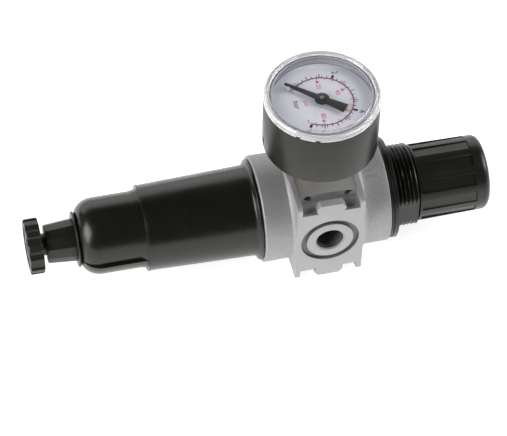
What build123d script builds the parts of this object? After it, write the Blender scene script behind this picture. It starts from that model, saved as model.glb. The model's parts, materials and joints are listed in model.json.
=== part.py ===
from build123d import *
import os
from math import atan, cos, degrees, radians, sin

# Miniature filter-regulator for compressed air: a die-cast body with two ports, a filter
# bowl with a manual drain below it, and a spring-loaded diaphragm regulator above it.
#
# Frame, in millimetres: +X is the main axis, from the drain to the adjusting knob (it points
# up when the regulator is installed). -Y is the outlet port, +Y the inlet port, and +Z the
# pressure gauge. The origin lies on the main axis, on the shoulder that a panel is clamped
# against. The regulator lies on its back, on the rails of its port block.
# "Top" below means the +X end of a piece and "bottom" its -X end.

# ---------------------------------------------------------------- driving dimensions
PORT_X = -26.3  # port axis and gauge axis, below the panel shoulder
THREAD_R = 4.88  # G1/8 ports, drawn at their major diameter with 0.016 mm to spare
THREAD_GAP = 0.08  # between a port and the thread in it
GAP = 0.05  # between pieces that move or seal against each other
SEAM = 0.02  # between pieces that are clamped together
EDGE = 0.4  # broken edges

# body and port block
BODY_TOP, BODY_TOP_R = -3.05, 19.17
BODY_BOTTOM, BODY_BOTTOM_R = -49.8, 19.66
BLOCK_HALF = 20.0  # half the port-to-port width
RAIL_IN, RAIL_OUT = 10.6, 12.4  # rails, measured along X from the port axis
RAIL_CORNER_R = 2.0
FACE_HALF_Z = 15.5  # the port face ends here and the clamp pockets start
POCKET_Y = 14.0  # rear wall of the clamp pockets
CORE_TOP_Z = 19.6
FLARE_R = 2.4  # concave blend from the barrel to the rails
TAB_THICK = 2.8
TAB_NECK, TAB_TIP, TAB_END = 4.5, 5.3, 3.9  # half-widths of a clamp tab
TAB_TIP_Z, TAB_END_Z = 17.5, 19.4
FIXING_R, FIXING_X, FIXING_Z = 1.4, 7.4, 17.8
GROOVE_OUT, GROOVE_IN, GROOVE_DEPTH = 10.7, 8.6, 1.2  # seal groove around a port
PORT_DEPTH, PORT_CHAMFER = 8.5, 0.5
DRILL_R, DRILL_END_Y = 3.2, 8.0  # small bore behind a port
FEED_R, FEED_Y = 2.0, 9.8  # passages that run along X
GAUGE_PORT_FLOOR, GAUGE_DRILL_R, GAUGE_DRILL_END = 12.0, 1.5, 9.0
GAUGE_FEED_R, GAUGE_FEED_Z = 1.2, 10.0

# plug that closes the gauge port at the back, along Z
PLUG_SEAT_R, PLUG_SEAT_DEPTH = 7.2, 2.6
PLUG_HEAD_R, PLUG_HEAD_OUT, PLUG_HEAD_IN, PLUG_END = 7.0, -19.4, -17.6, -12.6
PLUG_KEY_FLATS, PLUG_KEY_DEPTH = 5.0, 4.0
PLUG_SEAL_R, PLUG_SEAL_THICK = 5.95, 0.56

# stations inside the body
CLAMP_LEDGE, SKIRT_BORE_R = -12.8, 17.0
CHAMBER_FLOOR, CHAMBER_R = -17.8, 13.0
SEAT_X, SEAT_R, SEAT_LIP_R, SEAT_LIP = -22.3, 2.2, 3.0, 0.6
VALVE_BORE_R = 5.0
GUIDE_TOP, GUIDE_BORE_R = -30.3, 7.0
INLET_RING_TOP, INLET_RING_R = -35.8, 13.5
BOWL_SOCKET_TOP, BOWL_SOCKET_R = -38.8, 16.0

# bonnet, M30 x 1.5 panel thread drawn as rings at the thread's pitch
FLANGE_R = 18.6
M30_CREST, M30_ROOT, M30_PITCH, M30_LENGTH = 15.0, 14.08, 1.5, 8.65
CREST_WIDTH = M30_PITCH / 8
FLAT_Y = 13.5  # flat on the thread, against turning in the panel
TOWER_R, TOWER_TOP = 11.8, 27.7
SPRING_ROOM_R, SPRING_ROOM_TOP = 9.9, 25.5
SKIRT_R, SKIRT_END, SKIRT_ROOM_R, SKIRT_ROOM_TOP = 16.9, -11.7, 13.2, -6.5
KEY_SLOT_R, KEY_SLOT_WIDTH = 10.8, 3.0
SPINDLE_HOLE_R = 4.15

# adjusting spindle, knob and spring seat
SPINDLE_R, SPINDLE_END = 4.0, 3.0
COLLAR_BOTTOM, COLLAR_TOP, COLLAR_R = 23.4, 24.6, 7.4
THRUST_OUT, THRUST_IN = 7.2, 4.3
CLIP_BOTTOM, CLIP_TOP, CLIP_R, CLIP_GROOVE_R, CLIP_MOUTH = 27.85, 28.55, 6.0, 3.3, 4.0
HEX_FLATS, HEX_BOTTOM, HEX_TOP = 8.0, 28.8, 33.4
KNOB_BASE, KNOB_TOP = 9.1, 36.0
KNOB_BASE_R, KNOB_TOP_R, KNOB_ROUND = 14.1, 13.8, 2.6
KNOB_ROOM_R, KNOB_ROOM_TOP = 12.3, 32.6
KNOB_BOSS_R, KNOB_BOSS_BOTTOM, SOCKET_TOP = 6.5, 29.0, 33.6
PANEL_COUNT, PANEL_FLOOR_R, PANEL_WIDTH = 12, 13.3, 4.15
PANEL_BOTTOM, PANEL_TOP, PANEL_PHASE = 10.1, 30.5, 20.0
SEAT_PLATE_BOTTOM, SEAT_PLATE_TOP, SEAT_PLATE_R = 12.0, 15.5, 9.6
SEAT_BOSS_BOTTOM, SEAT_BOSS_R, SEAT_LUG_R, SEAT_LUG_WIDTH = 9.5, 6.2, 10.6, 2.6

# diaphragm stack and valve
DIAPHRAGM_BOTTOM, DIAPHRAGM_TOP, DIAPHRAGM_R = -12.75, -11.75, 16.85
FOLD_IN, FOLD_OUT, FOLD_THICK = 9.6, 12.6, 0.7
PLATE_TOP, PLATE_R = -10.5, 9.2
HUB_BOTTOM, HUB_FLANGE_R, HUB_R, HUB_TOP, RELIEF_R = -13.7, 4.5, 2.5, -8.3, 0.7
STACK_NUT_TOP, STACK_NUT_FLATS = -8.7, 9.0
POPPET_TOP, POPPET_BOTTOM, POPPET_R = -22.95, -25.0, 4.2
STEM_R, STEM_END, PIN_R = 1.9, -35.0, 0.9
MAIN_COIL_R, MAIN_WIRE, MAIN_TURNS = 8.0, 2.0, 6
VALVE_COIL_R, VALVE_WIRE, VALVE_TURNS = 3.0, 0.6, 4

# valve guide and filter
GUIDE_R, GUIDE_FLANGE_R, GUIDE_FLANGE_BOTTOM = 6.9, 7.5, -37.9
GUIDE_BOSS_TOP, GUIDE_BOSS_R = -29.3, 2.5
GUIDE_HOLE_R, GUIDE_HOLE_END = 1.95, -37.0
SPIGOT_R, SPIGOT_END = 5.4, -43.8
ROD_R, ROD_END = 2.6, -76.0
FLOW_COUNT, FLOW_R, FLOW_PCR = 6, 0.7, 4.1
VALVE_SEAL_X, VALVE_GROOVE_R, VALVE_GROOVE_HALF = -33.2, 2.7, 0.4
VALVE_SEAL_R, VALVE_SEAL_THICK = 2.32, 0.72
DEFLECTOR_TOP, DEFLECTOR_BOTTOM, DEFLECTOR_R = -38.2, -41.8, 12.4
VANE_COUNT, VANE_SLOT, VANE_DEPTH, VANE_ANGLE = 10, 1.6, 4.0, 40
FILTER_TOP, FILTER_BOTTOM, FILTER_R, FILTER_IN = -42.0, -71.0, 9.0, 5.5
RETAINER_BOTTOM, RETAINER_R, RETAINER_END_R = -74.5, 11.0, 5.0
RETAINER_RIM_TOP, RETAINER_RIM_BOTTOM = -72.6, -73.4

# bowl
NECK_TOP, NECK_R, NECK_IN = -40.3, 15.7, 13.0
SEAL_X, SEAL_GROOVE_HALF, SEAL_GROOVE_R, SEAL_THICK = -45.0, 1.1, 14.2, 1.7
BOWL_FACE, RIM_R, RIM_END, FLARE_END = -50.1, 18.5, -50.8, -51.9
BOWL_TOP_R, BOWL_STEP, BOWL_STEP_R = 16.7, -91.75, 15.75
GRIP_HIGH, GRIP_LOW, GRIP_PHASE = 14.4, 13.2, 95.0
DOME_START, DOME_START_R, DOME_END, DOME_FACE_R = -107.6, 14.6, -115.3, 7.6
DOME_MIDDLE = (-113.0, 12.2)
ROOM_TOP_R, ROOM_STEP_R, ROOM_STEP, ROOM_LOW_R = 14.2, 13.6, -90.5, 11.6
FLOOR_X, FLOOR_R = -113.0, 7.8

# drain
SLEEVE_END, SLEEVE_TOP_R, SLEEVE_END_R, SLEEVE_SIDES = -126.6, 7.9, 7.1, 12
WASHER_BOTTOM, WASHER_R = -116.1, 10.16
SPIGOT_TOP, SPIGOT_OUT, SPIGOT_IN = -110.7, 5.0, 3.0
LIP_TOP, LIP_BOTTOM, LIP_ROOM_R = -122.5, -124.3, 4.9
HUB_BORE_R = 4.08
WHEEL_TOP, WHEEL_BOTTOM, WHEEL_R, WHEEL_HUB_R, WHEEL_LIP_R = -128.3, -133.5, 10.1, 4.0, 4.6
LOBE_COUNT, LOBE_CUT_R, LOBE_CUT_PCR, LOBE_PHASE = 12, 2.0, 11.1, 0.0
DRAIN_NUT_FLATS, DRAIN_NUT_THICK = 12.8, 1.9
DRAIN_STEM_R, DRAIN_BORE_R, DRAIN_STEM_END, DRAIN_BORE_TOP = 2.0, 1.0, -133.3, -114.0
DRAIN_SIDE_X, DRAIN_SIDE_R = -114.8, 0.7  # side hole from the stem's outside into its bore
DRAIN_HEAD_R, DRAIN_HEAD_BOTTOM, DRAIN_HEAD_TOP = 3.9, -109.4, -107.4
DRAIN_SEAL_R, DRAIN_SEAL_THICK = 3.3, 1.2

# gauge
GAUGE_AXIS = Axis((PORT_X, 0, 0), (0, 0, 1))
SOCKET_BOTTOM, SOCKET_SHOULDER, SOCKET_FLATS, SOCKET_CORNER = 12.4, 20.4, 12.0, 1.2
TUBE_BLOCK_R, TUBE_BLOCK_TOP, SOCKET_BORE_R, SOCKET_BORE_TOP = 4.9, 42.2, 1.2, 39.6
GAUGE_SEAL_R = 7.0
CASE_BOTTOM, CASE_R, CASE_TOP, CASE_NECK_TOP, CASE_NECK_R = 32.5, 20.6, 54.2, 55.6, 19.2
CASE_IN, CASE_FLOOR, DIAL_LEDGE, DIAL_ROOM_R, CASE_HOLE_R = 17.2, 34.6, 51.7, 18.2, 5.0
CASE_ROUND, WINDOW_ROUND = 1.2, 1.0
VENT_Y, VENT_Z, VENT_WIDTH, VENT_HEIGHT = 0.5, 36.6, 1.2, 3.2
WINDOW_TOP, WINDOW_R, WINDOW_BOTTOM, WINDOW_UNDER, WINDOW_IN = 57.3, 20.6, 54.3, 55.9, 19.3
NOTCH_ANGLES, NOTCH_DEPTH, NOTCH_WIDTH = (-128, -108), 0.8, 1.4
DIAL_THICK, DIAL_R, DIAL_HOLE_R = 0.6, 18.0, 1.2
STOP_R, STOP_PIN_R, STOP_HEIGHT, STOP_ANGLE = 12.6, 0.4, 2.0, 7.0  # angle behind zero
POINTER_Z, POINTER_THICK, POINTER_LENGTH, POINTER_TAIL = 53.4, 0.4, 14.8, 9.4
POINTER_HUB_R, POINTER_RIVET_R, POINTER_RIVET_TOP, ZERO_ANGLE = 2.7, 0.9, 54.3, 139.0
POINTER_BUSH_R, POINTER_BUSH_BOTTOM = 1.6, 52.9
TAIL_HALF, WAIST_HALF, TIP_HALF = 1.95, 1.25, 0.6  # half widths of the needle
TUBE_RADIUS, TUBE_Z, TUBE_SWEEP = 13.8, 40.0, 250.0
MOVEMENT_BOTTOM, MOVEMENT_TOP, PLATE_THICK = 42.4, 48.8, 0.8
TUBE_HALF, TUBE_HALF_HEIGHT, TUBE_WALL = 0.9, 3.0, 0.4
PLATE_LENGTH, PLATE_WIDTH, PLATE_CENTRE, PLATE_CORNER_R = 17.0, 9.0, 4.0, 2.0
PILLAR_X, PILLAR_Y, PILLAR_R = -3.0, 3.0, 0.9
ARBOR_R, ARBOR_HOLE_R = 0.6, 0.66
SECTOR_X, GEAR_RATIO, GEAR_GAP = 9.0, 6, 0.05  # pivot from the gauge axis
PINION_R = SECTOR_X / (GEAR_RATIO + 1) - GEAR_GAP
SECTOR_R = SECTOR_X * GEAR_RATIO / (GEAR_RATIO + 1) - GEAR_GAP
PINION_BOTTOM, PINION_TOP, SECTOR_BOTTOM, SECTOR_THICK = 45.0, 47.0, 45.4, 1.0
SECTOR_FROM, SECTOR_TO = 122.0, 188.0  # its teeth reach the pinion, at 180, over the whole travel


# ---------------------------------------------------------------- shared shapes
def outline(*points):
    """Closed face in the XZ plane from (x, z) points. Turned pieces use z as the radius."""
    with BuildSketch(Plane.XZ) as face:
        with BuildLine():
            Polyline(*points, close=True)
        make_face()
    return face.sketch


def tube(start, end, outer, inner=0.0):
    """Half section of a rod or tube about the main axis."""
    return outline((start, inner), (end, inner), (end, outer), (start, outer))


def upright(low, high, outer, inner=0.0):
    """Half section of a rod or tube about the gauge axis."""
    near, far = PORT_X + inner, PORT_X + outer
    return outline((near, low), (far, low), (far, high), (near, high))


def ring_section(x, radius, thickness):
    """Half section of an O-ring about the main axis, with its centre circle at radius."""
    with BuildSketch(Plane.XZ) as face:
        with Locations((x, radius)):
            Circle(thickness / 2)
    return face.sketch


def around(radius, angle):
    """Point in the YZ plane at an angle from +Y towards +Z."""
    return (radius * cos(radians(angle)), radius * sin(radians(angle)))


def thread_points(start, length, crest, root, pitch):
    """Edge of a ring thread, from its start along +X: flat crests and V grooves."""
    points = [(start, crest)]
    turns = int((length - (crest - root) - CREST_WIDTH) / pitch)
    for turn in range(turns):
        edge = start + turn * pitch + CREST_WIDTH
        points.append((edge, crest))
        points.append((edge + (pitch - CREST_WIDTH) / 2, root))
        points.append((edge + pitch - CREST_WIDTH, crest))
    points.append((start + length - (crest - root), crest))
    points.append((start + length, root))
    return points


# ---------------------------------------------------------------- body
with BuildPart() as body:
    # Concave flares outside the rails, kept inside the block's square.
    for side in (-1, 1):
        inner_x = PORT_X + side * RAIL_OUT
        outer_x = inner_x + side * FLARE_R
        low_r = BODY_TOP_R + 0.1
        middle = FLARE_R * (1 - sin(radians(45)))
        with BuildSketch(Plane.XZ):
            with BuildLine():
                Polyline((inner_x, low_r + FLARE_R), (inner_x, 0), (outer_x, 0), (outer_x, low_r))
                ThreePointArc(
                    (outer_x, low_r),
                    (inner_x + side * middle, low_r + middle),
                    (inner_x, low_r + FLARE_R),
                )
            make_face()
        revolve(axis=Axis.X)
    with BuildSketch(Plane.YZ.offset(PORT_X - BODY_TOP_R)):
        RectangleRounded(2 * BLOCK_HALF, 2 * BLOCK_HALF, RAIL_CORNER_R)
    extrude(amount=2 * BODY_TOP_R, mode=Mode.INTERSECT)

    # Barrel, a little thicker at the bowl end.
    barrel = outline(
        (BODY_BOTTOM, 0), (BODY_TOP, 0), (BODY_TOP, BODY_TOP_R), (BODY_BOTTOM, BODY_BOTTOM_R)
    )
    revolve(barrel, axis=Axis.X)
    rims = body.edges().filter_by(GeomType.CIRCLE).group_by(Axis.X)
    chamfer([rims[0], rims[-1]], length=0.4)

    # Two rails with the block's full square outline.
    for start in (-RAIL_OUT, RAIL_IN):
        with BuildSketch(Plane.YZ.offset(PORT_X + start)):
            RectangleRounded(2 * BLOCK_HALF, 2 * BLOCK_HALF, RAIL_CORNER_R)
        extrude(amount=RAIL_OUT - RAIL_IN)

    # Core between the rails: the port faces, and the walls behind the clamp pockets.
    with BuildSketch(Plane.YZ.offset(PORT_X - RAIL_IN)):
        Rectangle(2 * BLOCK_HALF, 2 * FACE_HALF_Z)
        Rectangle(2 * POCKET_Y, 2 * CORE_TOP_Z)
    extrude(amount=2 * RAIL_IN)

    for side in (-1, 1):
        port_face = Plane(origin=(PORT_X, side * BLOCK_HALF, 0), x_dir=(side, 0, 0), z_dir=(0, side, 0))
        # Clamp tabs above and below the port face.
        with BuildSketch(port_face):
            for up in (-1, 1):
                half = [
                    (TAB_NECK, up * (FACE_HALF_Z - 1)),
                    (TAB_NECK, up * FACE_HALF_Z),
                    (TAB_TIP, up * (TAB_TIP_Z - 0.9)),
                    (TAB_TIP, up * TAB_TIP_Z),
                    (TAB_END, up * TAB_END_Z),
                ]
                with BuildLine():
                    Polyline(*half, *[(-x, z) for x, z in reversed(half)], close=True)
                make_face()
        extrude(amount=-TAB_THICK)
        # Seal groove, port and the small bore behind it.
        with BuildSketch(port_face):
            Circle(GROOVE_OUT)
            Circle(GROOVE_IN, mode=Mode.SUBTRACT)
        extrude(amount=-GROOVE_DEPTH, mode=Mode.SUBTRACT)
        with Locations(port_face):
            Hole(THREAD_R, depth=PORT_DEPTH)
            Hole(DRILL_R, depth=BLOCK_HALF - DRILL_END_Y)

    # Two fixing holes on the gauge side, right through from pocket to pocket.
    for along in (-1, 1):
        spot = (PORT_X + along * FIXING_X, POCKET_Y, FIXING_Z)
        with Locations(Plane(origin=spot, z_dir=(0, 1, 0))):
            Hole(FIXING_R, depth=2 * POCKET_Y)

    # Gauge port on top and its twin at the back, which a plug closes.
    for up in (-1, 1):
        with Locations(Plane(origin=(PORT_X, 0, up * CORE_TOP_Z), z_dir=(0, 0, up))):
            Hole(THREAD_R, depth=CORE_TOP_Z - GAUGE_PORT_FLOOR)
            Hole(GAUGE_DRILL_R, depth=CORE_TOP_Z - GAUGE_DRILL_END)
    with Locations(Plane(origin=(PORT_X, 0, -CORE_TOP_Z), z_dir=(0, 0, -1))):
        Hole(PLUG_SEAT_R, depth=PLUG_SEAT_DEPTH)

    # Turned cavities, from the bonnet end to the bowl end.
    revolve(tube(CLAMP_LEDGE, BODY_TOP, SKIRT_BORE_R), axis=Axis.X, mode=Mode.SUBTRACT)
    revolve(tube(CHAMBER_FLOOR, CLAMP_LEDGE, CHAMBER_R), axis=Axis.X, mode=Mode.SUBTRACT)
    revolve(tube(SEAT_X, CHAMBER_FLOOR, SEAT_R), axis=Axis.X, mode=Mode.SUBTRACT)
    valve_room = outline(
        (SEAT_X, SEAT_LIP_R),
        (SEAT_X - SEAT_LIP, SEAT_LIP_R),
        (SEAT_X - SEAT_LIP, 0),
        (INLET_RING_TOP, 0),
        (INLET_RING_TOP, GUIDE_BORE_R),
        (GUIDE_TOP, GUIDE_BORE_R),
        (GUIDE_TOP, VALVE_BORE_R),
        (SEAT_X, VALVE_BORE_R),
    )
    revolve(valve_room, axis=Axis.X, mode=Mode.SUBTRACT)
    revolve(tube(SEAT_X - SEAT_LIP, SEAT_X, SEAT_R), axis=Axis.X, mode=Mode.SUBTRACT)
    revolve(tube(BOWL_SOCKET_TOP, INLET_RING_TOP, INLET_RING_R), axis=Axis.X, mode=Mode.SUBTRACT)
    revolve(tube(BODY_BOTTOM, BOWL_SOCKET_TOP, BOWL_SOCKET_R), axis=Axis.X, mode=Mode.SUBTRACT)

    # Passages: inlet down to the filter, outlet and gauge ports up to the diaphragm chamber.
    feeds = (
        (INLET_RING_TOP, PORT_X, FEED_Y, 0, FEED_R),
        (PORT_X, CHAMBER_FLOOR, -FEED_Y, 0, FEED_R),
        (PORT_X, CHAMBER_FLOOR, 0, GAUGE_FEED_Z, GAUGE_FEED_R),
        (PORT_X, CHAMBER_FLOOR, 0, -GAUGE_FEED_Z, GAUGE_FEED_R),
    )
    for start, end, y, z, radius in feeds:
        with BuildSketch(Plane.YZ.offset(start)):
            with Locations((y, z)):
                Circle(radius)
        extrude(amount=end - start, mode=Mode.SUBTRACT)

    mouths = (
        body.edges()
        .filter_by(GeomType.CIRCLE)
        .filter_by(lambda edge: abs(edge.radius - THREAD_R) < 0.01)
        .filter_by(lambda edge: abs(abs(edge.arc_center.Y) - BLOCK_HALF) < 0.01)
    )
    chamfer(mouths, length=PORT_CHAMFER)

with BuildPart() as rear_plug:
    revolve(upright(PLUG_HEAD_IN, PLUG_END, THREAD_R - THREAD_GAP), axis=GAUGE_AXIS)
    revolve(upright(PLUG_HEAD_OUT, PLUG_HEAD_IN, PLUG_HEAD_R), axis=GAUGE_AXIS)
    with BuildSketch(Plane(origin=(PORT_X, 0, PLUG_HEAD_OUT), z_dir=(0, 0, -1))):
        RegularPolygon(radius=PLUG_KEY_FLATS / 2, side_count=6, major_radius=False)
    extrude(amount=-PLUG_KEY_DEPTH, mode=Mode.SUBTRACT)

with BuildPart() as rear_plug_oring:
    with BuildSketch(Plane.XZ):
        with Locations((PORT_X + PLUG_SEAL_R, (PLUG_HEAD_IN + PLUG_SEAT_DEPTH - CORE_TOP_Z) / 2)):
            Circle(PLUG_SEAL_THICK / 2)
    revolve(axis=GAUGE_AXIS)

# ---------------------------------------------------------------- bonnet and adjustment
with BuildPart() as bonnet:
    # Skirt in the body, flange, panel thread and the tower that the knob turns around.
    edge = [
        (SKIRT_END, SKIRT_ROOM_R),
        (SKIRT_END, SKIRT_R),
        (BODY_TOP, SKIRT_R),
        (BODY_TOP, FLANGE_R - 0.3),
        (BODY_TOP + 0.3, FLANGE_R),
        (BODY_TOP + 0.75, FLANGE_R),
        (BODY_TOP + 0.9, FLANGE_R - 0.35),
        (BODY_TOP + 1.05, FLANGE_R),
        (-0.5, FLANGE_R),
        (0, FLANGE_R - 0.5),
        *thread_points(0, M30_LENGTH, M30_CREST, M30_ROOT, M30_PITCH),
        (M30_LENGTH, TOWER_R),
        (TOWER_TOP, TOWER_R),
        (TOWER_TOP, SPINDLE_HOLE_R),
        (SPRING_ROOM_TOP, SPINDLE_HOLE_R),
        (SPRING_ROOM_TOP, SPRING_ROOM_R),
        (SKIRT_ROOM_TOP, SPRING_ROOM_R),
        (SKIRT_ROOM_TOP, SKIRT_ROOM_R),
    ]
    revolve(outline(*edge), axis=Axis.X)
    # Flat along the thread, on the outlet side.
    with BuildSketch(Plane.YZ):
        with Locations((-FLAT_Y - 2, 0)):
            Rectangle(4, 2 * M30_CREST)
    extrude(amount=M30_LENGTH, mode=Mode.SUBTRACT)
    # Two slots that keep the spring seat from turning.
    with BuildSketch(Plane.YZ.offset(SKIRT_ROOM_TOP)):
        Rectangle(2 * KEY_SLOT_R, KEY_SLOT_WIDTH)
    extrude(amount=SEAT_PLATE_TOP + 1 - SKIRT_ROOM_TOP, mode=Mode.SUBTRACT)

with BuildPart() as adjusting_spindle:
    revolve(tube(SPINDLE_END, COLLAR_BOTTOM, SPINDLE_R), axis=Axis.X)
    revolve(tube(COLLAR_BOTTOM, COLLAR_TOP, COLLAR_R), axis=Axis.X)
    revolve(tube(COLLAR_TOP, CLIP_BOTTOM, SPINDLE_HOLE_R - THREAD_GAP), axis=Axis.X)
    revolve(tube(CLIP_BOTTOM, CLIP_TOP, CLIP_GROOVE_R), axis=Axis.X)
    revolve(tube(CLIP_TOP, HEX_BOTTOM, SPINDLE_R), axis=Axis.X)
    with BuildSketch(Plane.YZ.offset(HEX_BOTTOM)):
        RegularPolygon(radius=HEX_FLATS / 2, side_count=6, major_radius=False)
    extrude(amount=HEX_TOP - HEX_BOTTOM)
    ends = adjusting_spindle.edges().group_by(Axis.X)
    chamfer([ends[0], ends[-1]], length=EDGE)

with BuildPart() as thrust_washer:
    revolve(tube(COLLAR_TOP + GAP, SPRING_ROOM_TOP - SEAM, THRUST_OUT, THRUST_IN), axis=Axis.X)

with BuildPart() as spindle_clip:
    revolve(tube(CLIP_BOTTOM + SEAM, CLIP_TOP - SEAM, CLIP_R, CLIP_GROOVE_R + SEAM), axis=Axis.X)
    with BuildSketch(Plane.YZ.offset(CLIP_BOTTOM)):
        with Locations((0, CLIP_R)):
            Rectangle(CLIP_MOUTH, 2 * CLIP_R - 2)
    extrude(amount=CLIP_TOP - CLIP_BOTTOM, mode=Mode.SUBTRACT)

with BuildPart() as adjusting_knob:
    # Cap with a rounded top, tapering slightly towards it.
    shoulder = (KNOB_TOP - KNOB_ROUND, KNOB_TOP_R)
    middle = KNOB_ROUND * (1 - sin(radians(45)))
    with BuildSketch(Plane.XZ):
        with BuildLine():
            Polyline(
                (KNOB_TOP, KNOB_TOP_R - KNOB_ROUND),
                (KNOB_TOP, 0),
                (KNOB_BOSS_BOTTOM, 0),
                (KNOB_BOSS_BOTTOM, KNOB_BOSS_R),
                (KNOB_ROOM_TOP, KNOB_BOSS_R),
                (KNOB_ROOM_TOP, KNOB_ROOM_R),
                (KNOB_BASE, KNOB_ROOM_R),
                (KNOB_BASE, KNOB_BASE_R - 0.3),
                (KNOB_BASE + 0.3, KNOB_BASE_R),
                shoulder,
            )
            ThreePointArc(
                shoulder,
                (KNOB_TOP - middle, KNOB_TOP_R - middle),
                (KNOB_TOP, KNOB_TOP_R - KNOB_ROUND),
            )
        make_face()
    revolve(axis=Axis.X)
    # Hexagon socket for the spindle head.
    with BuildSketch(Plane.YZ.offset(KNOB_BOSS_BOTTOM)):
        RegularPolygon(radius=HEX_FLATS / 2 + 2 * GAP, side_count=6, major_radius=False)
    extrude(amount=SOCKET_TOP - KNOB_BOSS_BOTTOM, mode=Mode.SUBTRACT)
    # Flat-bottomed grip panels around the skirt.
    with BuildSketch(Plane.YZ.offset(PANEL_BOTTOM)):
        with PolarLocations(PANEL_FLOOR_R + 1, PANEL_COUNT, start_angle=PANEL_PHASE):
            Rectangle(2, PANEL_WIDTH)
    extrude(amount=PANEL_TOP - PANEL_BOTTOM, mode=Mode.SUBTRACT)

with BuildPart() as spring_seat:
    revolve(tube(SEAT_PLATE_BOTTOM, SEAT_PLATE_TOP, SEAT_PLATE_R), axis=Axis.X)
    revolve(tube(SEAT_BOSS_BOTTOM, SEAT_PLATE_BOTTOM, SEAT_BOSS_R), axis=Axis.X)
    with BuildSketch(Plane.YZ.offset(SEAT_PLATE_BOTTOM)):
        Rectangle(2 * SEAT_LUG_R, SEAT_LUG_WIDTH)
    extrude(amount=SEAT_PLATE_TOP - SEAT_PLATE_BOTTOM)
    revolve(tube(SEAT_BOSS_BOTTOM, SEAT_PLATE_TOP, SPINDLE_R + GAP), axis=Axis.X, mode=Mode.SUBTRACT)


def coil(bottom, top, radius, wire, turns):
    """Compression spring about the main axis, between two seats."""
    height = top - bottom - wire
    start = (bottom + wire / 2, 0, 0)
    with BuildPart() as spring:
        with BuildLine() as path:
            Helix(height / turns, height, radius, center=start, direction=(1, 0, 0))
        with BuildSketch(Plane(origin=path.line @ 0, z_dir=path.line % 0)):
            Circle(wire / 2)
        sweep(path=path.line, is_frenet=True)
    return spring


main_spring = coil(PLATE_TOP + GAP, SEAT_PLATE_BOTTOM - GAP, MAIN_COIL_R, MAIN_WIRE, MAIN_TURNS)
valve_spring = coil(GUIDE_TOP + GAP, POPPET_BOTTOM - GAP, VALVE_COIL_R, VALVE_WIRE, VALVE_TURNS)

# ---------------------------------------------------------------- diaphragm and valve
with BuildPart() as diaphragm:
    # Clamped rim, one convolution and a flat centre with a hole for the hub.
    middle_r = (FOLD_IN + FOLD_OUT) / 2
    reach = (FOLD_OUT - FOLD_IN) / 2
    with BuildSketch(Plane.XZ):
        with BuildLine():
            Polyline(
                (DIAPHRAGM_TOP, FOLD_IN),
                (DIAPHRAGM_TOP, HUB_R + GAP),
                (DIAPHRAGM_BOTTOM, HUB_R + GAP),
                (DIAPHRAGM_BOTTOM, FOLD_IN + FOLD_THICK),
            )
            ThreePointArc(
                (DIAPHRAGM_BOTTOM, FOLD_IN + FOLD_THICK),
                (DIAPHRAGM_TOP + reach - FOLD_THICK, middle_r),
                (DIAPHRAGM_BOTTOM, FOLD_OUT - FOLD_THICK),
            )
            Polyline(
                (DIAPHRAGM_BOTTOM, FOLD_OUT - FOLD_THICK),
                (DIAPHRAGM_BOTTOM, DIAPHRAGM_R),
                (DIAPHRAGM_TOP, DIAPHRAGM_R),
                (DIAPHRAGM_TOP, FOLD_OUT),
            )
            ThreePointArc(
                (DIAPHRAGM_TOP, FOLD_OUT), (DIAPHRAGM_TOP + reach, middle_r), (DIAPHRAGM_TOP, FOLD_IN)
            )
        make_face()
    revolve(axis=Axis.X)

with BuildPart() as diaphragm_hub:
    revolve(tube(HUB_BOTTOM, DIAPHRAGM_BOTTOM - SEAM, HUB_FLANGE_R), axis=Axis.X)
    revolve(tube(DIAPHRAGM_BOTTOM - SEAM, HUB_TOP, HUB_R), axis=Axis.X)
    revolve(tube(HUB_BOTTOM, HUB_TOP, RELIEF_R), axis=Axis.X, mode=Mode.SUBTRACT)

with BuildPart() as diaphragm_plate:
    revolve(tube(DIAPHRAGM_TOP + SEAM, PLATE_TOP, PLATE_R, HUB_R + SEAM), axis=Axis.X)

with BuildPart() as diaphragm_nut:
    with BuildSketch(Plane.YZ.offset(PLATE_TOP + SEAM)):
        RegularPolygon(radius=STACK_NUT_FLATS / 2, side_count=6, major_radius=False)
        Circle(HUB_R + SEAM, mode=Mode.SUBTRACT)
    extrude(amount=STACK_NUT_TOP - PLATE_TOP)

with BuildPart() as valve_poppet:
    revolve(tube(POPPET_BOTTOM, POPPET_TOP, POPPET_R), axis=Axis.X)
    revolve(tube(STEM_END, POPPET_BOTTOM, STEM_R), axis=Axis.X)
    chamfer(valve_poppet.edges().group_by(Axis.X)[0], length=EDGE)

with BuildPart() as valve_pin:
    revolve(tube(POPPET_TOP + SEAM, HUB_BOTTOM - GAP, PIN_R), axis=Axis.X)

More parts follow.
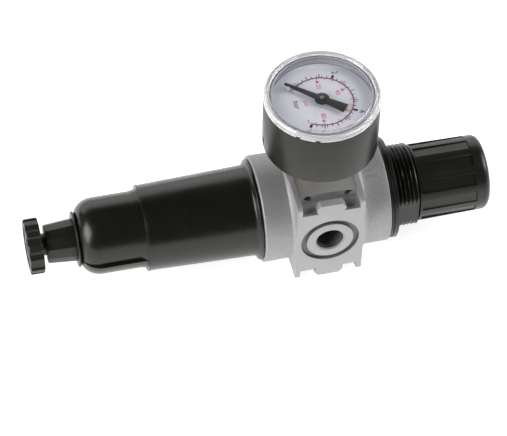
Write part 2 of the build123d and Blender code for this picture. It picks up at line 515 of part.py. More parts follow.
with BuildPart() as valve_guide:
    # Threaded plug under the valve; its long rod carries the filter.
    guide = outline(
        (ROD_END, 0),
        (ROD_END, ROD_R),
        (SPIGOT_END, ROD_R),
        (SPIGOT_END, SPIGOT_R),
        (GUIDE_FLANGE_BOTTOM, SPIGOT_R),
        (GUIDE_FLANGE_BOTTOM, GUIDE_FLANGE_R),
        (INLET_RING_TOP, GUIDE_FLANGE_R),
        (INLET_RING_TOP, GUIDE_R),
        (GUIDE_TOP, GUIDE_R),
        (GUIDE_TOP, GUIDE_BOSS_R),
        (GUIDE_BOSS_TOP, GUIDE_BOSS_R),
        (GUIDE_BOSS_TOP, GUIDE_HOLE_R),
        (VALVE_SEAL_X + VALVE_GROOVE_HALF, GUIDE_HOLE_R),
        (VALVE_SEAL_X + VALVE_GROOVE_HALF, VALVE_GROOVE_R),
        (VALVE_SEAL_X - VALVE_GROOVE_HALF, VALVE_GROOVE_R),
        (VALVE_SEAL_X - VALVE_GROOVE_HALF, GUIDE_HOLE_R),
        (GUIDE_HOLE_END, GUIDE_HOLE_R),
        (GUIDE_HOLE_END, 0),
    )
    revolve(guide, axis=Axis.X)
    with BuildSketch(Plane.YZ.offset(SPIGOT_END)):
        with PolarLocations(FLOW_PCR, FLOW_COUNT):
            Circle(FLOW_R)
    extrude(amount=GUIDE_TOP - SPIGOT_END, mode=Mode.SUBTRACT)

with BuildPart() as valve_oring:
    revolve(ring_section(VALVE_SEAL_X, VALVE_SEAL_R, VALVE_SEAL_THICK), axis=Axis.X)

# ---------------------------------------------------------------- filter
with BuildPart() as swirl_deflector:
    # Disc whose slanted slots set the incoming air spinning.
    revolve(tube(DEFLECTOR_BOTTOM, DEFLECTOR_TOP, DEFLECTOR_R, SPIGOT_R + 2 * GAP), axis=Axis.X)
    depth = DEFLECTOR_TOP - DEFLECTOR_BOTTOM
    for vane in range(VANE_COUNT):
        turn = Plane.XY.rotated((360 / VANE_COUNT * vane, 0, 0))
        centre = turn.from_local_coords((DEFLECTOR_BOTTOM + depth / 2, 0, DEFLECTOR_R))
        out = turn.from_local_coords((0, 0, 1))
        along = turn.from_local_coords((cos(radians(VANE_ANGLE)), sin(radians(VANE_ANGLE)), 0))
        with BuildSketch(Plane(origin=centre, x_dir=along, z_dir=out)):
            Rectangle(3 * depth, VANE_SLOT)
        extrude(amount=-VANE_DEPTH, mode=Mode.SUBTRACT)

with BuildPart() as filter_element:
    revolve(tube(FILTER_BOTTOM, FILTER_TOP, FILTER_R, FILTER_IN), axis=Axis.X)
    chamfer(filter_element.edges().filter_by(GeomType.CIRCLE), length=EDGE)

with BuildPart() as filter_retainer:
    cone = outline(
        (FILTER_BOTTOM - GAP, ROD_R + GAP),
        (FILTER_BOTTOM - GAP, FILTER_R - EDGE),
        (RETAINER_RIM_TOP, RETAINER_R),
        (RETAINER_RIM_BOTTOM, RETAINER_R),
        (RETAINER_BOTTOM, RETAINER_END_R),
        (RETAINER_BOTTOM, ROD_R + GAP),
    )
    revolve(cone, axis=Axis.X)

# ---------------------------------------------------------------- bowl
with BuildPart() as bowl:
    # Lower grip section: four cam-shaped sides, each ending in a ledge.
    with BuildSketch(Plane.YZ.offset(DOME_END)):
        with BuildLine():
            for quarter in range(4):
                ledge_angle = GRIP_PHASE + 90 * quarter
                ThreePointArc(
                    around(GRIP_HIGH, ledge_angle),
                    around((GRIP_LOW + GRIP_HIGH) / 2, ledge_angle + 45),
                    around(GRIP_LOW, ledge_angle + 90),
                )
                Line(around(GRIP_LOW, ledge_angle + 90), around(GRIP_HIGH, ledge_angle + 90))
        make_face()
    extrude(amount=BOWL_STEP - DOME_END)
    with BuildSketch(Plane.XZ):
        with BuildLine():
            Polyline(
                (DOME_END, DOME_FACE_R),
                (DOME_END, 0),
                (BOWL_STEP, 0),
                (BOWL_STEP, DOME_START_R + EDGE),
                (DOME_START, DOME_START_R),
            )
            ThreePointArc((DOME_START, DOME_START_R), DOME_MIDDLE, (DOME_END, DOME_FACE_R))
        make_face()
    revolve(axis=Axis.X, mode=Mode.INTERSECT)
    # Smooth upper section, rim and neck with the seal groove.
    upper = outline(
        (BOWL_STEP, 0),
        (BOWL_STEP, BOWL_STEP_R - 0.3),
        (BOWL_STEP + 0.3, BOWL_STEP_R),
        (FLARE_END, BOWL_TOP_R),
        (RIM_END, RIM_R),
        (BOWL_FACE, RIM_R),
        (BOWL_FACE, NECK_R),
        (SEAL_X - SEAL_GROOVE_HALF, NECK_R),
        (SEAL_X - SEAL_GROOVE_HALF, SEAL_GROOVE_R),
        (SEAL_X + SEAL_GROOVE_HALF, SEAL_GROOVE_R),
        (SEAL_X + SEAL_GROOVE_HALF, NECK_R),
        (NECK_TOP - 0.5, NECK_R),
        (NECK_TOP, NECK_R - 0.5),
        (NECK_TOP, 0),
    )
    revolve(upper, axis=Axis.X)
    # Sump inside, and the hole for the drain.
    room = outline(
        (NECK_TOP, 0),
        (NECK_TOP, NECK_IN),
        (BOWL_FACE, NECK_IN),
        (FLARE_END - 1, ROOM_TOP_R),
        (ROOM_STEP, ROOM_STEP_R),
        (BOWL_STEP - 0.6, ROOM_LOW_R),
        (DOME_START, ROOM_LOW_R - 0.3),
        (FLOOR_X + 2, FLOOR_R + 3),
        (FLOOR_X, FLOOR_R),
        (FLOOR_X, 0),
    )
    revolve(room, axis=Axis.X, mode=Mode.SUBTRACT)
    revolve(tube(DOME_END, FLOOR_X, SPIGOT_OUT + GAP), axis=Axis.X, mode=Mode.SUBTRACT)

with BuildPart() as bowl_oring:
    revolve(ring_section(SEAL_X, SEAL_GROOVE_R + SEAL_THICK / 2 + SEAM, SEAL_THICK), axis=Axis.X)

# ---------------------------------------------------------------- drain
with BuildPart() as drain_washer:
    revolve(tube(WASHER_BOTTOM, DOME_END, WASHER_R, SPIGOT_OUT + 2 * GAP), axis=Axis.X)
    rims = drain_washer.edges().filter_by(GeomType.CIRCLE).sort_by(SortBy.RADIUS)[-2:]
    chamfer(rims, length=EDGE / 2)

with BuildPart() as drain_sleeve:
    # Twelve-sided sleeve that tapers away from the bowl, with a spigot into the sump.
    base = Plane(origin=(WASHER_BOTTOM, 0, 0), x_dir=(0, 1, 0), z_dir=(-1, 0, 0))
    length = WASHER_BOTTOM - SLEEVE_END
    with BuildSketch(base):
        RegularPolygon(radius=SLEEVE_TOP_R, side_count=SLEEVE_SIDES)
    extrude(amount=length, taper=degrees(atan((SLEEVE_TOP_R - SLEEVE_END_R) / length)))
    revolve(tube(WASHER_BOTTOM, SPIGOT_TOP, SPIGOT_OUT), axis=Axis.X)
    revolve(tube(LIP_TOP, SPIGOT_TOP, SPIGOT_IN), axis=Axis.X, mode=Mode.SUBTRACT)
    revolve(tube(LIP_BOTTOM, LIP_TOP, LIP_ROOM_R), axis=Axis.X, mode=Mode.SUBTRACT)
    revolve(tube(SLEEVE_END, LIP_BOTTOM, HUB_BORE_R), axis=Axis.X, mode=Mode.SUBTRACT)

with BuildPart() as drain_nut:
    with BuildSketch(Plane.YZ.offset(FLOOR_X + SEAM)):
        RegularPolygon(radius=DRAIN_NUT_FLATS / 2, side_count=6, major_radius=False)
        Circle(SPIGOT_OUT + SEAM, mode=Mode.SUBTRACT)
    extrude(amount=DRAIN_NUT_THICK)

with BuildPart() as drain_stem:
    # Hollow stem: its head closes the spigot, and the side holes let water into its bore.
    revolve(tube(DRAIN_STEM_END, DRAIN_HEAD_BOTTOM, DRAIN_STEM_R), axis=Axis.X)
    revolve(tube(DRAIN_HEAD_BOTTOM, DRAIN_HEAD_TOP, DRAIN_HEAD_R), axis=Axis.X)
    revolve(tube(DRAIN_STEM_END, DRAIN_BORE_TOP, DRAIN_BORE_R), axis=Axis.X, mode=Mode.SUBTRACT)
    with Locations((DRAIN_SIDE_X, 0, 0)):
        Cylinder(DRAIN_SIDE_R, 3 * DRAIN_STEM_R, mode=Mode.SUBTRACT)

with BuildPart() as drain_oring:
    seal_x = (SPIGOT_TOP + DRAIN_HEAD_BOTTOM) / 2
    revolve(ring_section(seal_x, DRAIN_SEAL_R, DRAIN_SEAL_THICK), axis=Axis.X)

with BuildPart() as drain_knob:
    # Scalloped wheel with a hub that snaps into the sleeve.
    with BuildSketch(Plane.YZ.offset(WHEEL_BOTTOM)):
        Circle(WHEEL_R)
        with PolarLocations(LOBE_CUT_PCR, LOBE_COUNT, start_angle=LOBE_PHASE):
            Circle(LOBE_CUT_R, mode=Mode.SUBTRACT)
    extrude(amount=WHEEL_TOP - WHEEL_BOTTOM)
    ends = drain_knob.edges().group_by(Axis.X)
    chamfer([ends[0], ends[-1]], length=EDGE)
    lip = (LIP_BOTTOM + 2 * GAP, LIP_TOP - 4 * GAP)
    revolve(tube(WHEEL_TOP, lip[0], WHEEL_HUB_R), axis=Axis.X)
    revolve(tube(*lip, WHEEL_LIP_R), axis=Axis.X)
    revolve(tube(WHEEL_BOTTOM, lip[1], DRAIN_STEM_R + GAP), axis=Axis.X, mode=Mode.SUBTRACT)

# ---------------------------------------------------------------- gauge
with BuildPart() as gauge_socket:
    # Brass connection: thread, square for the spanner, and the tube block in the case.
    revolve(upright(SOCKET_BOTTOM, SOCKET_SHOULDER, THREAD_R - THREAD_GAP), axis=GAUGE_AXIS)
    with BuildSketch(Plane(origin=(PORT_X, 0, SOCKET_SHOULDER))):
        Rectangle(SOCKET_FLATS, SOCKET_FLATS)
    extrude(amount=CASE_BOTTOM - SEAM - SOCKET_SHOULDER)
    corners = gauge_socket.edges().filter_by(Axis.Z).sort_by(SortBy.LENGTH)[-4:]
    chamfer(corners, length=SOCKET_CORNER)
    revolve(upright(CASE_BOTTOM - SEAM, TUBE_BLOCK_TOP, TUBE_BLOCK_R), axis=GAUGE_AXIS)
    bore = upright(SOCKET_BOTTOM, SOCKET_BORE_TOP, SOCKET_BORE_R)
    revolve(bore, axis=GAUGE_AXIS, mode=Mode.SUBTRACT)

with BuildPart() as gauge_seal:
    ring = upright(CORE_TOP_Z, SOCKET_SHOULDER - SEAM, GAUGE_SEAL_R, THREAD_R + SEAM)
    revolve(ring, axis=GAUGE_AXIS)

with BuildPart() as gauge_case:
    shell = outline(
        (PORT_X + CASE_HOLE_R, CASE_BOTTOM),
        (PORT_X + CASE_R, CASE_BOTTOM),
        (PORT_X + CASE_R, CASE_TOP),
        (PORT_X + CASE_NECK_R, CASE_TOP),
        (PORT_X + CASE_NECK_R, CASE_NECK_TOP),
        (PORT_X + DIAL_ROOM_R, CASE_NECK_TOP),
        (PORT_X + DIAL_ROOM_R, DIAL_LEDGE),
        (PORT_X + CASE_IN, DIAL_LEDGE),
        (PORT_X + CASE_IN, CASE_FLOOR),
        (PORT_X + CASE_HOLE_R, CASE_FLOOR),
    )
    revolve(shell, axis=GAUGE_AXIS)
    bottom_edges = gauge_case.edges().filter_by(GeomType.CIRCLE).group_by(Axis.Z)[0]
    fillet(bottom_edges.sort_by(SortBy.RADIUS)[-1], radius=CASE_ROUND)
    # Vent slot in the wall, on the bowl side.
    with Locations((PORT_X - CASE_R, VENT_Y, VENT_Z)):
        Box(3 * (CASE_R - CASE_IN), VENT_WIDTH, VENT_HEIGHT, mode=Mode.SUBTRACT)

with BuildPart() as gauge_window:
    lid = outline(
        (PORT_X, WINDOW_UNDER),
        (PORT_X + WINDOW_IN, WINDOW_UNDER),
        (PORT_X + WINDOW_IN, WINDOW_BOTTOM),
        (PORT_X + WINDOW_R, WINDOW_BOTTOM),
        (PORT_X + WINDOW_R, WINDOW_TOP),
        (PORT_X, WINDOW_TOP),
    )
    revolve(lid, axis=GAUGE_AXIS)
    top_edge = gauge_window.edges().filter_by(GeomType.CIRCLE).group_by(Axis.Z)[-1]
    fillet(top_edge, radius=WINDOW_ROUND)
    # Two snap notches in the lower edge, on the outlet side.
    for angle in NOTCH_ANGLES:
        spot = around(WINDOW_R, angle)
        with Locations(Location((PORT_X + spot[0], spot[1], WINDOW_BOTTOM), (0, 0, angle))):
            Box(NOTCH_DEPTH, NOTCH_WIDTH, NOTCH_WIDTH, mode=Mode.SUBTRACT)

with BuildPart() as gauge_dial:
    revolve(upright(DIAL_LEDGE, DIAL_LEDGE + DIAL_THICK, DIAL_R, DIAL_HOLE_R), axis=GAUGE_AXIS)
    # Stop pin beside the pointer's zero position.
    stop = around(STOP_R, ZERO_ANGLE + STOP_ANGLE)
    with BuildSketch(Plane(origin=(PORT_X, 0, DIAL_LEDGE + DIAL_THICK))):
        with Locations(stop):
            Circle(STOP_PIN_R)
    extrude(amount=STOP_HEIGHT)

with BuildPart() as gauge_pointer:
    # Tapered needle with a broad counterweight, pointing at zero.
    with BuildSketch(Plane(origin=(PORT_X, 0, POINTER_Z))):
        needle = [
            (-POINTER_TAIL, -TAIL_HALF),
            (-POINTER_TAIL, TAIL_HALF),
            (0, WAIST_HALF),
            (POINTER_LENGTH, TIP_HALF),
            (POINTER_LENGTH, -TIP_HALF),
            (0, -WAIST_HALF),
        ]
        with Locations(Location((0, 0, 0), (0, 0, ZERO_ANGLE))):
            Polygon(*needle, align=None)
        Circle(POINTER_HUB_R)
    extrude(amount=POINTER_THICK)
    revolve(upright(POINTER_Z + POINTER_THICK, POINTER_RIVET_TOP, POINTER_RIVET_R), axis=GAUGE_AXIS)
    revolve(upright(POINTER_BUSH_BOTTOM, POINTER_Z, POINTER_BUSH_R), axis=GAUGE_AXIS)

with BuildPart() as gauge_pinion:
    revolve(upright(MOVEMENT_BOTTOM + EDGE / 2, POINTER_BUSH_BOTTOM - SEAM, ARBOR_R), axis=GAUGE_AXIS)
    revolve(upright(PINION_BOTTOM, PINION_TOP, PINION_R), axis=GAUGE_AXIS)

with BuildPart() as gauge_movement_frame:
    # Two plates on two pillars, which hold the pinion and sector pivots.
    for level in (MOVEMENT_BOTTOM, MOVEMENT_TOP):
        with BuildSketch(Plane(origin=(PORT_X, 0, level))):
            with Locations((PLATE_CENTRE, 0)):
                RectangleRounded(PLATE_LENGTH, PLATE_WIDTH, PLATE_CORNER_R)
            with Locations((0, 0), (SECTOR_X, 0)):
                Circle(ARBOR_HOLE_R, mode=Mode.SUBTRACT)
        extrude(amount=PLATE_THICK)
    with BuildSketch(Plane(origin=(PORT_X, 0, MOVEMENT_BOTTOM + PLATE_THICK))):
        with Locations((PILLAR_X, PILLAR_Y), (PILLAR_X, -PILLAR_Y)):
            Circle(PILLAR_R)
    extrude(amount=MOVEMENT_TOP - MOVEMENT_BOTTOM - PLATE_THICK)

with BuildPart() as gauge_sector:
    # Toothed sector, drawn at its pitch circle, on its own arbor.
    with BuildSketch(Plane(origin=(PORT_X + SECTOR_X, 0, SECTOR_BOTTOM))):
        with BuildLine():
            teeth = CenterArc((0, 0), SECTOR_R, SECTOR_FROM, SECTOR_TO - SECTOR_FROM)
            Polyline(teeth @ 1, (0.6, -1.6), (2.6, 0.4), (0.9, 2.1), teeth @ 0)
        make_face()
    extrude(amount=SECTOR_THICK)
    sector_axis = Axis((PORT_X + SECTOR_X, 0, 0), (0, 0, 1))
    arbor = outline(
        (PORT_X + SECTOR_X, MOVEMENT_BOTTOM + EDGE / 2),
        (PORT_X + SECTOR_X + ARBOR_R, MOVEMENT_BOTTOM + EDGE / 2),
        (PORT_X + SECTOR_X + ARBOR_R, MOVEMENT_TOP + PLATE_THICK - EDGE / 2),
        (PORT_X + SECTOR_X, MOVEMENT_TOP + PLATE_THICK - EDGE / 2),
    )
    revolve(arbor, axis=sector_axis)

with BuildPart() as bourdon_tube:
    # C-shaped flattened tube whose tip moves as pressure straightens it.
    with BuildSketch(Plane.XZ):
        with Locations((PORT_X + TUBE_RADIUS, TUBE_Z)):
            Ellipse(TUBE_HALF, TUBE_HALF_HEIGHT)
            Ellipse(TUBE_HALF - TUBE_WALL, TUBE_HALF_HEIGHT - TUBE_WALL, mode=Mode.SUBTRACT)
    revolve(axis=GAUGE_AXIS, revolution_arc=TUBE_SWEEP)

# ---------------------------------------------------------------- output
pieces = {
    "body": body,
    "rear_plug": rear_plug,
    "rear_plug_oring": rear_plug_oring,
    "bonnet": bonnet,
    "adjusting_spindle": adjusting_spindle,
    "thrust_washer": thrust_washer,
    "spindle_clip": spindle_clip,
    "adjusting_knob": adjusting_knob,
    "spring_seat": spring_seat,
    "main_spring": main_spring,
    "diaphragm": diaphragm,
    "diaphragm_hub": diaphragm_hub,
    "diaphragm_plate": diaphragm_plate,
    "diaphragm_nut": diaphragm_nut,
    "valve_poppet": valve_poppet,
    "valve_pin": valve_pin,
    "valve_spring": valve_spring,
    "valve_guide": valve_guide,
    "valve_oring": valve_oring,
    "swirl_deflector": swirl_deflector,
    "filter_element": filter_element,
    "filter_retainer": filter_retainer,
    "bowl": bowl,
    "bowl_oring": bowl_oring,
    "drain_washer": drain_washer,
    "drain_sleeve": drain_sleeve,
    "drain_nut": drain_nut,
    "drain_stem": drain_stem,
    "drain_oring": drain_oring,
    "drain_knob": drain_knob,
    "gauge_socket": gauge_socket,
    "gauge_seal": gauge_seal,
    "gauge_case": gauge_case,
    "gauge_window": gauge_window,
    "gauge_dial": gauge_dial,
    "gauge_pointer": gauge_pointer,
    "gauge_pinion": gauge_pinion,
    "gauge_movement_frame": gauge_movement_frame,
    "gauge_sector": gauge_sector,
    "bourdon_tube": bourdon_tube,
}

os.makedirs("parts", exist_ok=True)
for name, piece in pieces.items():
    piece.part.label = name
    export_step(piece.part, f"parts/{name}.step")
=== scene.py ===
import json
from math import atan2, cos, pi, radians, sin

import bmesh
import bpy
from bpy.props import FloatProperty, FloatVectorProperty, IntProperty, PointerProperty
from mathutils import Matrix, Vector

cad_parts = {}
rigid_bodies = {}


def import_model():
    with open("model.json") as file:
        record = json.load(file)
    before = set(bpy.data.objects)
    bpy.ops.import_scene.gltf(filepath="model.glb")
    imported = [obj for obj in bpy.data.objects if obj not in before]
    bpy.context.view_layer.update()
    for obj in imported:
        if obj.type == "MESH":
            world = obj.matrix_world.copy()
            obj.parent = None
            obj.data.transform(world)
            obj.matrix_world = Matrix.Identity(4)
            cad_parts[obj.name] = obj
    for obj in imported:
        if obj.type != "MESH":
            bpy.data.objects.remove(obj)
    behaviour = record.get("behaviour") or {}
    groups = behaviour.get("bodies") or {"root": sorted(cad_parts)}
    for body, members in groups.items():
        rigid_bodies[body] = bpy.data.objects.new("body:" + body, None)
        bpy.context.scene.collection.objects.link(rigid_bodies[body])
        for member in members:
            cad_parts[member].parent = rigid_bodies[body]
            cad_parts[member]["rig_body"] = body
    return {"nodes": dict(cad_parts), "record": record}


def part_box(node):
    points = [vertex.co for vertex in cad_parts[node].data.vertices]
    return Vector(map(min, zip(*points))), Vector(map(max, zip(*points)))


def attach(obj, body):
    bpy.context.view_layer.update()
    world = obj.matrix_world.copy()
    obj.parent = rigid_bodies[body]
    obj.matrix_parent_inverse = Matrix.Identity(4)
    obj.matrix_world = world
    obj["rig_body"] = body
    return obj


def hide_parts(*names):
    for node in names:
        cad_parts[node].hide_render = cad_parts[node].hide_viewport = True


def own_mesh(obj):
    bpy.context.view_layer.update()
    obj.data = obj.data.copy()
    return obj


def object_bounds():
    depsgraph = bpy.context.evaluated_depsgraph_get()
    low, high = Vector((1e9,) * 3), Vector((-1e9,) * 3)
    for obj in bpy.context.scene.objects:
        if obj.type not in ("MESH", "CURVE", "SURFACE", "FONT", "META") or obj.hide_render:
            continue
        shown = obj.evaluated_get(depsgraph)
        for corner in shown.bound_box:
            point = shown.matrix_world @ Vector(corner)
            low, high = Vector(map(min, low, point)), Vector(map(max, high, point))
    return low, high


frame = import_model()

bl_info = {
    "name": "Filter-regulator builder",
    "version": (1, 0, 0),
    "blender": (4, 5, 0),
    "location": "View3D > Sidebar > Regulator",
    "description": "Dresses a compressed-air filter-regulator: casting, bowl, drain, knob and gauge",
    "category": "Object",
}

MM = 0.001
CAD_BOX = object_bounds()
SLOT_OF = {row["node"]: row["material_slot"] for row in frame["record"]["subparts"]}
PORT_X = sum(corner.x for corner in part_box("gauge_dial")) / 2 / MM
AROUND = 144  # steps round a turned piece
TINY = 1e-6  # slack in comparisons, in millimetres or radians
PRINT_THICK = 0.03  # ink on the dial
PORT_FACE_Y = 19.90  # the machined port faces begin here
PORT_THREAD_R, PORT_THREAD_PITCH = 5.0, 0.907
PORT_MOUTH_R, PORT_MOUTH_HALF = 5.35, 0.13
SEAL_GROOVE_R, SEAL_GROOVE_HALF, SEAL_GROOVE_Y = 9.65, 1.1, 18.7
WINDOW_RIM_R = 18.9  # the window turns milky outside this


# ------------------------------------------------------------------ frame lookups
def low(node, axis):
    """Lowest coordinate of a node along an axis, in millimetres."""
    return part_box(node)[0]["xyz".index(axis)] / MM


def high(node, axis):
    """Highest coordinate of a node along an axis, in millimetres."""
    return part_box(node)[1]["xyz".index(axis)] / MM


def dial_level():
    """Level of the dial's printed face, in millimetres."""
    return low("gauge_dial", "z") + 0.6


# ------------------------------------------------------------------ node trees
class Sheet:
    """A node tree being drawn up, for a material or for geometry."""

    def __init__(self, tree):
        self.tree = tree

    def put(self, socket, value):
        """Links a socket to another, or gives it a value."""
        if isinstance(value, bpy.types.NodeSocket):
            self.tree.links.new(value, socket)
        else:
            socket.default_value = value

    def add(self, kind, inputs=None, **settings):
        """Node of a kind, with its settings and its named inputs."""
        node = self.tree.nodes.new(kind)
        for name, value in settings.items():
            setattr(node, name, value)
        for name, value in (inputs or {}).items():
            self.put(node.inputs[name], value)
        return node

    def math(self, operation, *values):
        """Result of one Math node."""
        node = self.tree.nodes.new("ShaderNodeMath")
        node.operation = operation
        for socket, value in zip(node.inputs, values):
            self.put(socket, value)
        return node.outputs[0]

    def split(self, vector):
        """X, Y and Z outputs of a vector."""
        return self.add("ShaderNodeSeparateXYZ", {"Vector": vector}).outputs

    def length(self, first, second):
        """Length of the hypotenuse over two values."""
        squares = [self.math("MULTIPLY", value, value) for value in (first, second)]
        return self.math("SQRT", self.math("ADD", *squares))

    def choose(self, factor, first, second):
        """The first number where the factor is 0, the second where it is 1."""
        node = self.add("ShaderNodeMix", data_type="FLOAT")
        self.put(node.inputs[0], factor)
        self.put(node.inputs[2], first)
        self.put(node.inputs[3], second)
        return node.outputs[0]

    def moved(self, geometry, across, outward, upward):
        """Geometry whose points are put at new X, Y and Z."""
        place = self.add("ShaderNodeCombineXYZ", {"X": across, "Y": outward, "Z": upward}).outputs[0]
        inputs = {"Geometry": geometry, "Position": place}
        return self.add("GeometryNodeSetPosition", inputs).outputs[0]

    def bump(self, height, strength, distance):
        """Normals bent by a height. The distance is in millimetres."""
        inputs = {"Height": height, "Strength": strength, "Distance": distance * MM}
        return self.add("ShaderNodeBump", inputs).outputs[0]

    def ramp(self, value, low_in, high_in, low_out=0.0, high_out=1.0):
        """Value mapped from one range to another, and held at its ends."""
        inputs = {
            "Value": value,
            "From Min": low_in,
            "From Max": high_in,
            "To Min": low_out,
            "To Max": high_out,
        }
        return self.add("ShaderNodeMapRange", inputs, clamp=True).outputs[0]

    def noise(self, coords, scale, detail=2.0):
        """Smooth noise between 0 and 1."""
        inputs = {"Vector": coords, "Scale": scale, "Detail": detail}
        return self.add("ShaderNodeTexNoise", inputs).outputs[0]

    def blend(self, factor, first, second):
        """The first colour where the factor is 0, the second where it is 1."""
        node = self.add("ShaderNodeMix", data_type="RGBA")
        self.put(node.inputs[0], factor)
        self.put(node.inputs[6], first)
        self.put(node.inputs[7], second)
        return node.outputs[2]


# ------------------------------------------------------------------ materials
def new_material(name, roughness, metallic=0.0, **fixed):
    """Material with a Principled shader, its sheet and Object coordinates."""
    made = bpy.data.materials.new(name)
    made.use_nodes = True
    sheet = Sheet(made.node_tree)
    shader = made.node_tree.nodes["Principled BSDF"]
    shader.inputs["Roughness"].default_value = roughness
    shader.inputs["Metallic"].default_value = metallic
    for label, value in fixed.items():
        shader.inputs[label.replace("_", " ")].default_value = value
    coords = sheet.add("ShaderNodeTexCoord").outputs["Object"]
    return made, sheet, shader, coords


def grade(colour, factor):
    """A colour made lighter or darker, with its alpha."""
    return (*[channel * factor for channel in colour[:3]], 1.0)


def from_gauge(sheet, coords):
    """Distance from the gauge axis."""
    split = sheet.split(coords)
    return sheet.length(sheet.math("SUBTRACT", split["X"], PORT_X * MM), split["Y"])


def plastic(name, colour, roughness, grain=2600.0, depth=0.010, spread=0.15, lining=None):
    """Moulded plastic: a fine eroded grain, and gloss that varies a little over the surface.

    lining is the paler colour of the wall round the gauge's dial."""
    made, sheet, shader, coords = new_material(name, roughness)
    broad = sheet.noise(coords, 90.0, 3.0)
    shade = sheet.blend(broad, grade(colour, 0.8), grade(colour, 1.25))
    if lining:
        above = sheet.split(coords)["Z"]
        over_dial = sheet.math("GREATER_THAN", above, (dial_level() - 0.1) * MM)
        wall_r = high("gauge_dial", "y") + 0.3
        near = sheet.math("LESS_THAN", from_gauge(sheet, coords), wall_r * MM)
        shade = sheet.blend(sheet.math("MULTIPLY", over_dial, near), shade, grade(lining, 1.0))
    sheet.put(shader.inputs["Base Color"], shade)
    sheet.put(
        shader.inputs["Roughness"],
        sheet.ramp(broad, 0.3, 0.7, roughness * (1 - spread), roughness * (1 + spread)),
    )
    sheet.put(shader.inputs["Normal"], sheet.bump(sheet.noise(coords, grain, 2.0), 0.35, depth))
    return made


def cast_metal(name, colour, cast_roughness=0.55, machined_roughness=0.36):
    """Blasted die-casting: a pebbled grain, left off the machined faces of the ports."""
    made, sheet, shader, coords = new_material(name, cast_roughness, metallic=0.35)
    split = sheet.split(coords)
    out_y = sheet.math("ABSOLUTE", split["Y"])
    machined = sheet.ramp(out_y, PORT_FACE_Y * MM, (PORT_FACE_Y + 0.06) * MM)
    pebbles = sheet.noise(coords, 2200.0, 3.0)
    patches = sheet.noise(coords, 260.0, 2.0)
    mottled = sheet.blend(patches, grade(colour, 0.90), grade(colour, 1.08))
    specked = sheet.blend(sheet.ramp(pebbles, 0.35, 0.65), grade(colour, 0.78), mottled)
    sheet.put(
        shader.inputs["Roughness"], sheet.ramp(machined, 0.0, 1.0, cast_roughness, machined_roughness)
    )
    ring = sheet.length(sheet.math("SUBTRACT", split["X"], PORT_X * MM), split["Z"])
    tool_marks = sheet.math("SINE", sheet.math("MULTIPLY", ring, 2 * pi / (0.28 * MM)))
    # Painted shade: the port's bore with its thread, its seal groove and the chamfer at its mouth are
    # darkened towards a near-black copy of the casting colour.
    sunk = sheet.math("SUBTRACT", 1.0, machined)
    near_bore = sheet.ramp(ring, (PORT_THREAD_R - 0.08) * MM, PORT_THREAD_R * MM, 1.0, 0.0)
    in_bore = sheet.math("MULTIPLY", near_bore, sunk)
    near_groove = sheet.math("COMPARE", ring, SEAL_GROOVE_R * MM, SEAL_GROOVE_HALF * MM)
    outer_band = sheet.math("GREATER_THAN", out_y, SEAL_GROOVE_Y * MM)
    in_groove = sheet.math("MULTIPLY", sheet.math("MULTIPLY", near_groove, outer_band), sunk)
    near_mouth = sheet.math("COMPARE", ring, PORT_MOUTH_R * MM, PORT_MOUTH_HALF * MM)
    mouth = sheet.math("MULTIPLY", near_mouth, machined)
    shade = sheet.math("ADD", sheet.math("MULTIPLY", in_bore, 0.72), sheet.math("MULTIPLY", mouth, 0.3))
    shade = sheet.math("ADD", shade, sheet.math("MULTIPLY", in_groove, 0.5))
    light = sheet.blend(machined, specked, grade(colour, 0.98))
    shadowed = grade(colour, 0.12)
    sheet.put(shader.inputs["Base Color"], sheet.blend(shade, light, shadowed))
    turns = sheet.math("SINE", sheet.math("MULTIPLY", out_y, 2 * pi / (PORT_THREAD_PITCH * MM)))
    thread = sheet.math("MULTIPLY", sheet.math("MULTIPLY", turns, in_bore), 3.0)
    cast = sheet.math("MULTIPLY", sunk, pebbles)
    turned = sheet.math("MULTIPLY", sheet.math("MULTIPLY", machined, tool_marks), 0.06)
    height = sheet.math("ADD", sheet.math("ADD", cast, turned), thread)
    sheet.put(shader.inputs["Normal"], sheet.bump(height, 0.7, 0.06))
    return made


def bright_metal(name, colour, roughness, axis="X"):
    """Turned metal with fine lathe lines along an axis."""
    made, sheet, shader, coords = new_material(name, roughness, metallic=1.0)
    lines = sheet.add("ShaderNodeCombineXYZ", {axis: sheet.split(coords)[axis]}).outputs[0]
    streaks = sheet.noise(lines, 3200.0, 3.0)
    sheet.put(shader.inputs["Base Color"], sheet.blend(streaks, grade(colour, 0.85), grade(colour, 1.1)))
    sheet.put(
        shader.inputs["Roughness"], sheet.ramp(streaks, 0.3, 0.7, roughness * 0.75, roughness * 1.3)
    )
    sheet.put(shader.inputs["Normal"], sheet.bump(streaks, 0.25, 0.01))
    return made


def porous(name, colour):
    """Sintered beads, as in a filter element."""
    made, sheet, shader, coords = new_material(name, 0.8)
    cells = sheet.add("ShaderNodeTexVoronoi", {"Vector": coords, "Scale": 2400.0}).outputs["Distance"]
    # Painted shade: each bead darkens towards its edge, so the gaps between the beads are darker.
    shade = sheet.ramp(cells, 0.1, 0.6)
    sheet.put(shader.inputs["Base Color"], sheet.blend(shade, grade(colour, 1.0), grade(colour, 0.55)))
    sheet.put(shader.inputs["Normal"], sheet.bump(sheet.math("SUBTRACT", 1.0, cells), 0.8, 0.1))
    return made


def clear_plastic(name, colour):
    """Clear moulded window with the faintest unevenness, milky in its thick rim."""
    made, sheet, shader, coords = new_material(name, 0.02, IOR=1.49)
    shader.inputs["Base Color"].default_value = (*colour, 1.0)
    out = from_gauge(sheet, coords)
    clear = sheet.ramp(out, WINDOW_RIM_R * MM, (WINDOW_RIM_R + 0.2) * MM, 1.0, 0.74)
    sheet.put(shader.inputs["Transmission Weight"], clear)
    sheet.put(shader.inputs["Normal"], sheet.bump(sheet.noise(coords, 60.0, 1.0), 0.04, 0.05))
    return made


